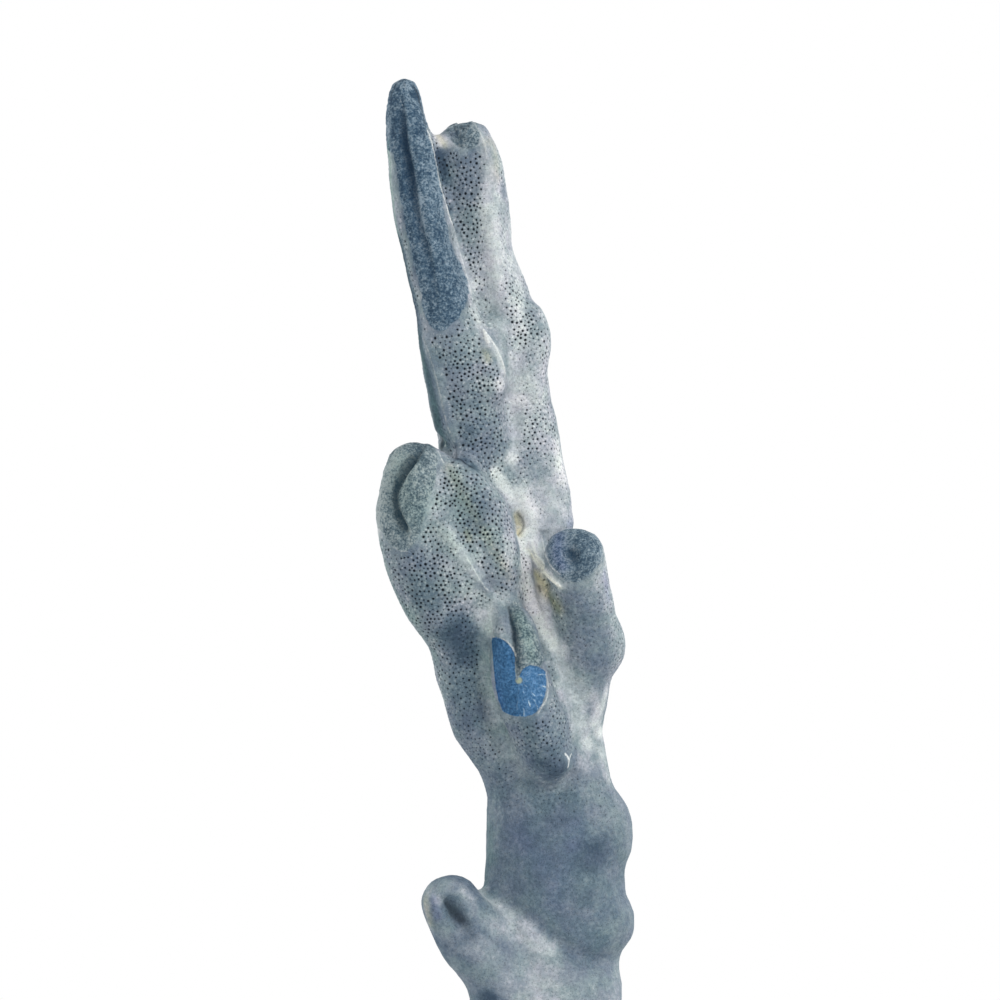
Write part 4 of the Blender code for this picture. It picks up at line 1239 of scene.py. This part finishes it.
def grain_group():
    """Fine grain: granules about a third of a millimetre across, with pinholes between them."""
    outputs = {"Value": "f", "Height": "f"}
    graph, given, out = new_group("coral grain", {"Vector": "v", "Amount": "f"}, outputs)
    granules = graph.noise(given["Vector"], 2500.0, 3.0, 0.7)
    blotches = graph.noise(given["Vector"], 1050.0, 3.0, 0.6)
    pinholes = graph.ramp(graph.cells(given["Vector"], 2100.0), 0.12, 0.34)
    height = graph.blend(graph.math("ADD", granules, blotches), 0.5, graph.blend(pinholes, 0.35, -0.35))
    swing = graph.ramp(height, 0.16, 0.66, -1.0, 1.0)
    graph.join(graph.blend(swing, given["Amount"], 1.0), out["Value"])
    graph.join(height, out["Height"])
    return graph.tree


def mottle_group():
    """The skin's colour: from blue-grey to near white, clouded, and drifting between green and violet."""
    graph, given, out = new_group("mottled skin", {"Vector": "v", "Tone": "f"}, {"Colour": "c"})
    tone = given["Tone"]
    for scale, share in ((95.0, 0.34), (330.0, 0.5), (1150.0, 0.5)):
        cloud = graph.noise(given["Vector"], scale, 3.0, 0.6)
        tone = graph.math("ADD", tone, graph.blend(cloud, share, -0.5 * share))
    stops = [
        (0.0, (66, 84, 101)),
        (0.3, (101, 118, 132)),
        (0.6, (143, 155, 163)),
        (0.85, (186, 192, 197)),
        (1.0, (210, 214, 216)),
        (1.3, (242, 243, 241)),
    ]
    palest = stops[-1][0]
    stops = [(place / palest, shade) for place, shade in stops]
    body = graph.stops(graph.math("DIVIDE", tone, palest), stops)
    drift = graph.ramp(graph.noise(given["Vector"], 150.0, 4.0), 0.34, 0.66)
    body = graph.mix(1.0, body, graph.mix(drift, colour(249, 255, 251), colour(253, 250, 255)), "MULTIPLY")
    graph.join(body, out["Colour"])
    return graph.tree


def growing_group():
    """The growing edges: lips with fine folds across them and a dark slot, its blue deepened with painted
    shade, over the skin's colour.
    """
    inputs = {name: "f" for name in ("Tone", "Growth", "Run", "Across", "Slot", "Blue")}
    inputs = {"Vector": "v", "Skin": "c", **inputs}
    graph, given, out = new_group("growing edge", inputs, {"Colour": "c", "Height": "f"})
    along = graph.vector(X=given["Run"], Y=graph.blend(given["Across"], 0.3))
    streaks = graph.noise(along, 2.9, 5.0, 0.8)
    patches = graph.noise(given["Vector"], 520.0, 5.0, 0.8)
    specks = graph.noise(given["Vector"], 1700.0, 2.0, 0.6)
    share = given["Tone"]
    for cloud, spread, swing in ((streaks, 0.2, 0.26), (patches, 0.16, 0.34), (specks, 0.18, 0.34)):
        share = graph.math("ADD", share, graph.ramp(cloud, 0.5 - spread, 0.5 + spread, -swing, swing))
    grey = graph.stops(share, [(0.0, (76, 94, 104)), (0.5, (122, 138, 144)), (1.0, (174, 184, 184))])
    blue = graph.stops(share, [(0.0, (48, 72, 94)), (0.5, (88, 112, 130)), (1.0, (140, 158, 172))])
    lips = graph.mix(given["Blue"], grey, blue)
    # The slot: deep blue, darkened further as painted shade down the groove.
    slot = graph.mix(given["Blue"], colour(34, 58, 72), colour(26, 52, 76))
    lips = graph.mix(graph.math("MULTIPLY", given["Slot"], 0.9, clamp=True), lips, slot)
    ragged = graph.math("ADD", given["Growth"], graph.blend(graph.noise(given["Vector"], 900.0), 0.8, -0.4))
    graph.join(graph.mix(graph.ramp(ragged, 0.25, 0.75), given["Skin"], lips), out["Colour"])
    graph.join(graph.math("MULTIPLY", streaks, given["Growth"]), out["Height"])
    return graph.tree


def crest_group():
    """Thin pale ledges, nearly white, with crumbled edges: worn and broken ridges, and painted highlight on
    edges that catch the light.
    """
    graph, given, out = new_group("pale ledge", {"Vector": "v", "Skin": "c", "Crest": "f"}, {"Colour": "c"})
    crumbs = graph.blend(graph.noise(given["Vector"], 1300.0, 4.0, 0.7), 0.9, -0.45)
    share = graph.ramp(graph.math("ADD", given["Crest"], crumbs), 0.2, 0.85, 0.0, 0.96)
    graph.join(graph.mix(share, given["Skin"], colour(232, 236, 234)), out["Colour"])
    return graph.tree


def stain_and_shade_group():
    """Tints over the finished colours, as stain and as painted shade: sea green, yellow-brown and violet."""
    inputs = {"Skin": "c", **{name.capitalize(): "f" for name in STAINS_AND_SHADE}}
    graph, given, out = new_group("stains_and_shade", inputs, {"Colour": "c"})
    body = given["Skin"]
    for name, shade in STAINS_AND_SHADE.items():
        body = graph.mix(given[name.capitalize()], body, colour(*shade), "MULTIPLY")
    graph.join(body, out["Colour"])
    return graph.tree


def pit_group():
    """Polyp pits and hollows in painted shade: dark on the walls and floor, soft round the mouth."""
    graph, given, out = new_group("polyp pit", {"Skin": "c", "Pit": "f"}, {"Colour": "c"})
    depth = graph.ramp(given["Pit"], 0.05, 0.8, 0.0, 0.94)
    graph.join(graph.mix(depth, given["Skin"], colour(40, 50, 60)), out["Colour"])
    return graph.tree


def break_group():
    """A fresh break: saturated blue skeleton, a yellowish core and pale splinters that spread from it."""
    inputs = {"Vector": "v", "Skin": "c", "Broken": "f"}
    graph, given, out = new_group("fresh break", inputs, {"Colour": "c", "Height": "f"})
    core = (BREAK_CORE[0] * MM, 0.0, BREAK_CORE[1] * MM)
    apart = graph.vector_math("SUBTRACT", {0: given["Vector"], 1: core})
    split = graph.feed(graph.node("ShaderNodeSeparateXYZ"), {0: apart})
    around = graph.math("ARCTAN2", split["Z"], split["X"])
    far = graph.vector_math("LENGTH", {0: graph.vector(X=split["X"], Z=split["Z"])}, "Value")
    polar = graph.vector(X=graph.blend(around, 9.0), Y=graph.blend(far, 260.0))
    streaks = graph.noise(polar, 1.0, 3.0, 0.6)
    grain = graph.noise(given["Vector"], 1500.0, 5.0, 0.7)
    right = graph.ramp(split["X"], -1.5 * MM, 2.5 * MM)
    share = graph.math("ADD", graph.ramp(grain, 0.3, 0.72, 0.0, 0.6), graph.blend(streaks, 0.5, -0.12))
    share = graph.math("ADD", share, graph.blend(right, 0.2, -0.1))
    blue = graph.stops(share, [(0.0, (32, 72, 108)), (0.45, (68, 114, 156)), (1.0, (124, 164, 204))])
    cracks = graph.math("MULTIPLY", graph.ramp(streaks, 0.6, 0.68), graph.blend(right, 0.8))
    blue = graph.mix(cracks, blue, colour(196, 218, 228))
    blue = graph.mix(graph.ramp(far, 0.5 * MM, 1.1 * MM, 0.85, 0.0), blue, colour(168, 176, 150))
    graph.join(graph.mix(graph.ramp(given["Broken"], 0.4, 0.6), given["Skin"], blue), out["Colour"])
    graph.join(graph.math("MULTIPLY", grain, given["Broken"]), out["Height"])
    return graph.tree


def coral_finish():
    """The finish of the grown skin, from the shared groups and the fields kept on its vertices."""
    material, graph, shader = new_material("coral skin")
    place = graph.place()
    tone = graph.field("tone")
    skin = graph.group(mottle_group(), Vector=place, Tone=tone)
    edge = {name.capitalize(): graph.field(name) for name in ("growth", "run", "across", "slot", "blue")}
    lips = graph.group(growing_group(), Vector=place, Skin=skin["Colour"], Tone=tone, **edge)
    pits = graph.group(pit_group(), Skin=lips["Colour"], Pit=graph.field("pit"))
    broken = graph.group(break_group(), Vector=place, Skin=pits["Colour"], Broken=graph.field("broken"))
    ledges = graph.group(crest_group(), Vector=place, Skin=broken["Colour"], Crest=graph.field("crest"))
    stains_and_shade = {name.capitalize(): graph.field(name) for name in STAINS_AND_SHADE}
    stained_and_shaded = graph.group(stain_and_shade_group(), Skin=ledges["Colour"], **stains_and_shade)
    grain = graph.group(grain_group(), Vector=place, Amount=0.26)
    body = graph.vector_math("SCALE", {0: stained_and_shaded["Colour"], "Scale": grain["Value"]})
    height = graph.math("ADD", graph.blend(lips["Height"], 1.4, grain["Height"]), broken["Height"])
    graph.join(body, shader["Base Color"])
    graph.join(graph.ramp(grain["Height"], 0.2, 0.7, 0.8, 0.95), shader["Roughness"])
    graph.join(graph.bump(height, 0.6, 0.25), shader["Normal"])
    shader["Specular IOR Level"].default_value = 0.25
    return material


def sawn_finish():
    """The sawn foot: blue inside, riddled with tubes and pinholes, with the saw's faint marks."""
    material, graph, shader = new_material("sawn foot")
    place = graph.place()
    clouds = graph.noise(place, 160.0, 4.0, 0.6)
    body = graph.stops(clouds, [(0.3, (58, 84, 112)), (0.7, (120, 144, 166))])
    tubes = graph.ramp(graph.cells(place, 560.0), 0.2, 0.32)
    pinholes = graph.ramp(graph.cells(place, 1900.0), 0.15, 0.4)
    body = graph.mix(graph.blend(pinholes, -0.35, 0.35), body, colour(44, 60, 78))
    body = graph.mix(graph.blend(tubes, -0.9, 0.9), body, colour(30, 40, 52))
    stretched = graph.fed("ShaderNodeMapping", {"Vector": place, "Scale": (0.06, 1.0, 1.0)})
    marks = graph.noise(stretched, 1600.0, 2.0)
    height = graph.math("ADD", graph.blend(tubes, 1.6, graph.blend(pinholes, 0.5)), graph.blend(marks, 0.4))
    graph.join(body, shader["Base Color"])
    graph.join(graph.ramp(clouds, 0.3, 0.7, 0.75, 0.92), shader["Roughness"])
    graph.join(graph.bump(height, 0.8, 0.4), shader["Normal"])
    return material


def make_branch():
    """The whole branch as one skin, then as one piece for each CAD limb."""
    limbs = frame["nodes"]
    skin = fused_skin(limbs)
    tree = surface_tree(skin)
    bm = pore_lattice(skin, tree)
    tag_limbs(bm, limbs)
    growth = Growth(tree)
    split_growing_edges(bm, growth, tree)
    raise_relief(bm, growth)
    sink_pits(bm, growth)
    paint_skin(bm, growth)
    finishes = (coral_finish(), sawn_finish())
    for number, name in enumerate(limbs):
        mesh = limb_piece(bm, number, f"{name}_skin", tree)
        for finish in finishes:
            mesh.materials.append(finish)
        piece = linked_object(f"{name}_skin", mesh)
        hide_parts(name)
        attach(piece, "root")
    bm.free()


def make_floor():
    """A pale disc that fades out towards its rim: it keeps the branch's shadow and shows no edge."""
    bm = bmesh.new()
    bmesh.ops.create_circle(bm, cap_ends=True, segments=96, radius=FLOOR_RADIUS)
    bmesh.ops.translate(bm, vec=(0.0, 0.0, -0.2 * MM), verts=bm.verts)
    mesh = bpy.data.meshes.new("floor")
    bm.to_mesh(mesh)
    bm.free()
    floor = linked_object("floor", mesh)
    material, graph, shader = new_material("pale floor")
    shader["Base Color"].default_value = (0.86, 0.86, 0.86, 1.0)
    shader["Roughness"].default_value = 0.9
    far = graph.vector_math("LENGTH", {0: graph.place()}, "Value")
    graph.join(graph.ramp(far, *FLOOR_FADE, 1.0, 0.0), shader["Alpha"])
    mesh.materials.append(material)


def make_lights():
    """Soft light, strongest from the right, and a white surround that lights the rest evenly."""
    for name, place, size, power in (
        ("key", (0.55, -0.45, 0.55), 0.5, 3.0),
        ("right rim", (0.50, 0.42, 0.30), 0.4, 1.7),
        ("left rim", (-0.55, 0.30, 0.22), 0.4, 1.3),
        ("fill", (-0.25, -0.80, 0.30), 0.6, 1.5),
    ):
        light = bpy.data.lights.new(name, "AREA")
        light.size = size
        light.energy = power
        lamp = linked_object(name, light)
        lamp.location = place
        lamp.rotation_euler = (LAMP_AIM - Vector(place)).to_track_quat("-Z", "Y").to_euler()
    world = bpy.data.worlds.new("white surround")
    world.use_nodes = True
    bpy.context.scene.world = world
    graph = Graph(world.node_tree)
    background = world.node_tree.nodes["Background"]
    ray = graph.node("ShaderNodeLightPath").outputs
    seen = graph.math("MAXIMUM", ray["Is Camera Ray"], ray["Is Glossy Ray"])
    seen = graph.math("MAXIMUM", seen, ray["Is Transmission Ray"])
    background.inputs["Color"].default_value = (1.0, 1.0, 1.0, 1.0)
    graph.join(graph.blend(seen, 0.5, 0.5), background.inputs["Strength"])


def make_camera():
    """A long lens, level and a little above the branch's middle."""
    camera = bpy.data.cameras.new("front camera")
    camera.sensor_width = 36.0
    camera.lens = CAMERA_LENS
    camera.clip_start = 0.01
    view = linked_object("front camera", camera)
    view.location = CAMERA_PLACE
    view.rotation_euler = (math.radians(90.0), 0.0, 0.0)
    bpy.context.scene.camera = view


make_camera()
make_branch()
make_floor()
make_lights()
bpy.context.scene.view_settings.view_transform = "Standard"
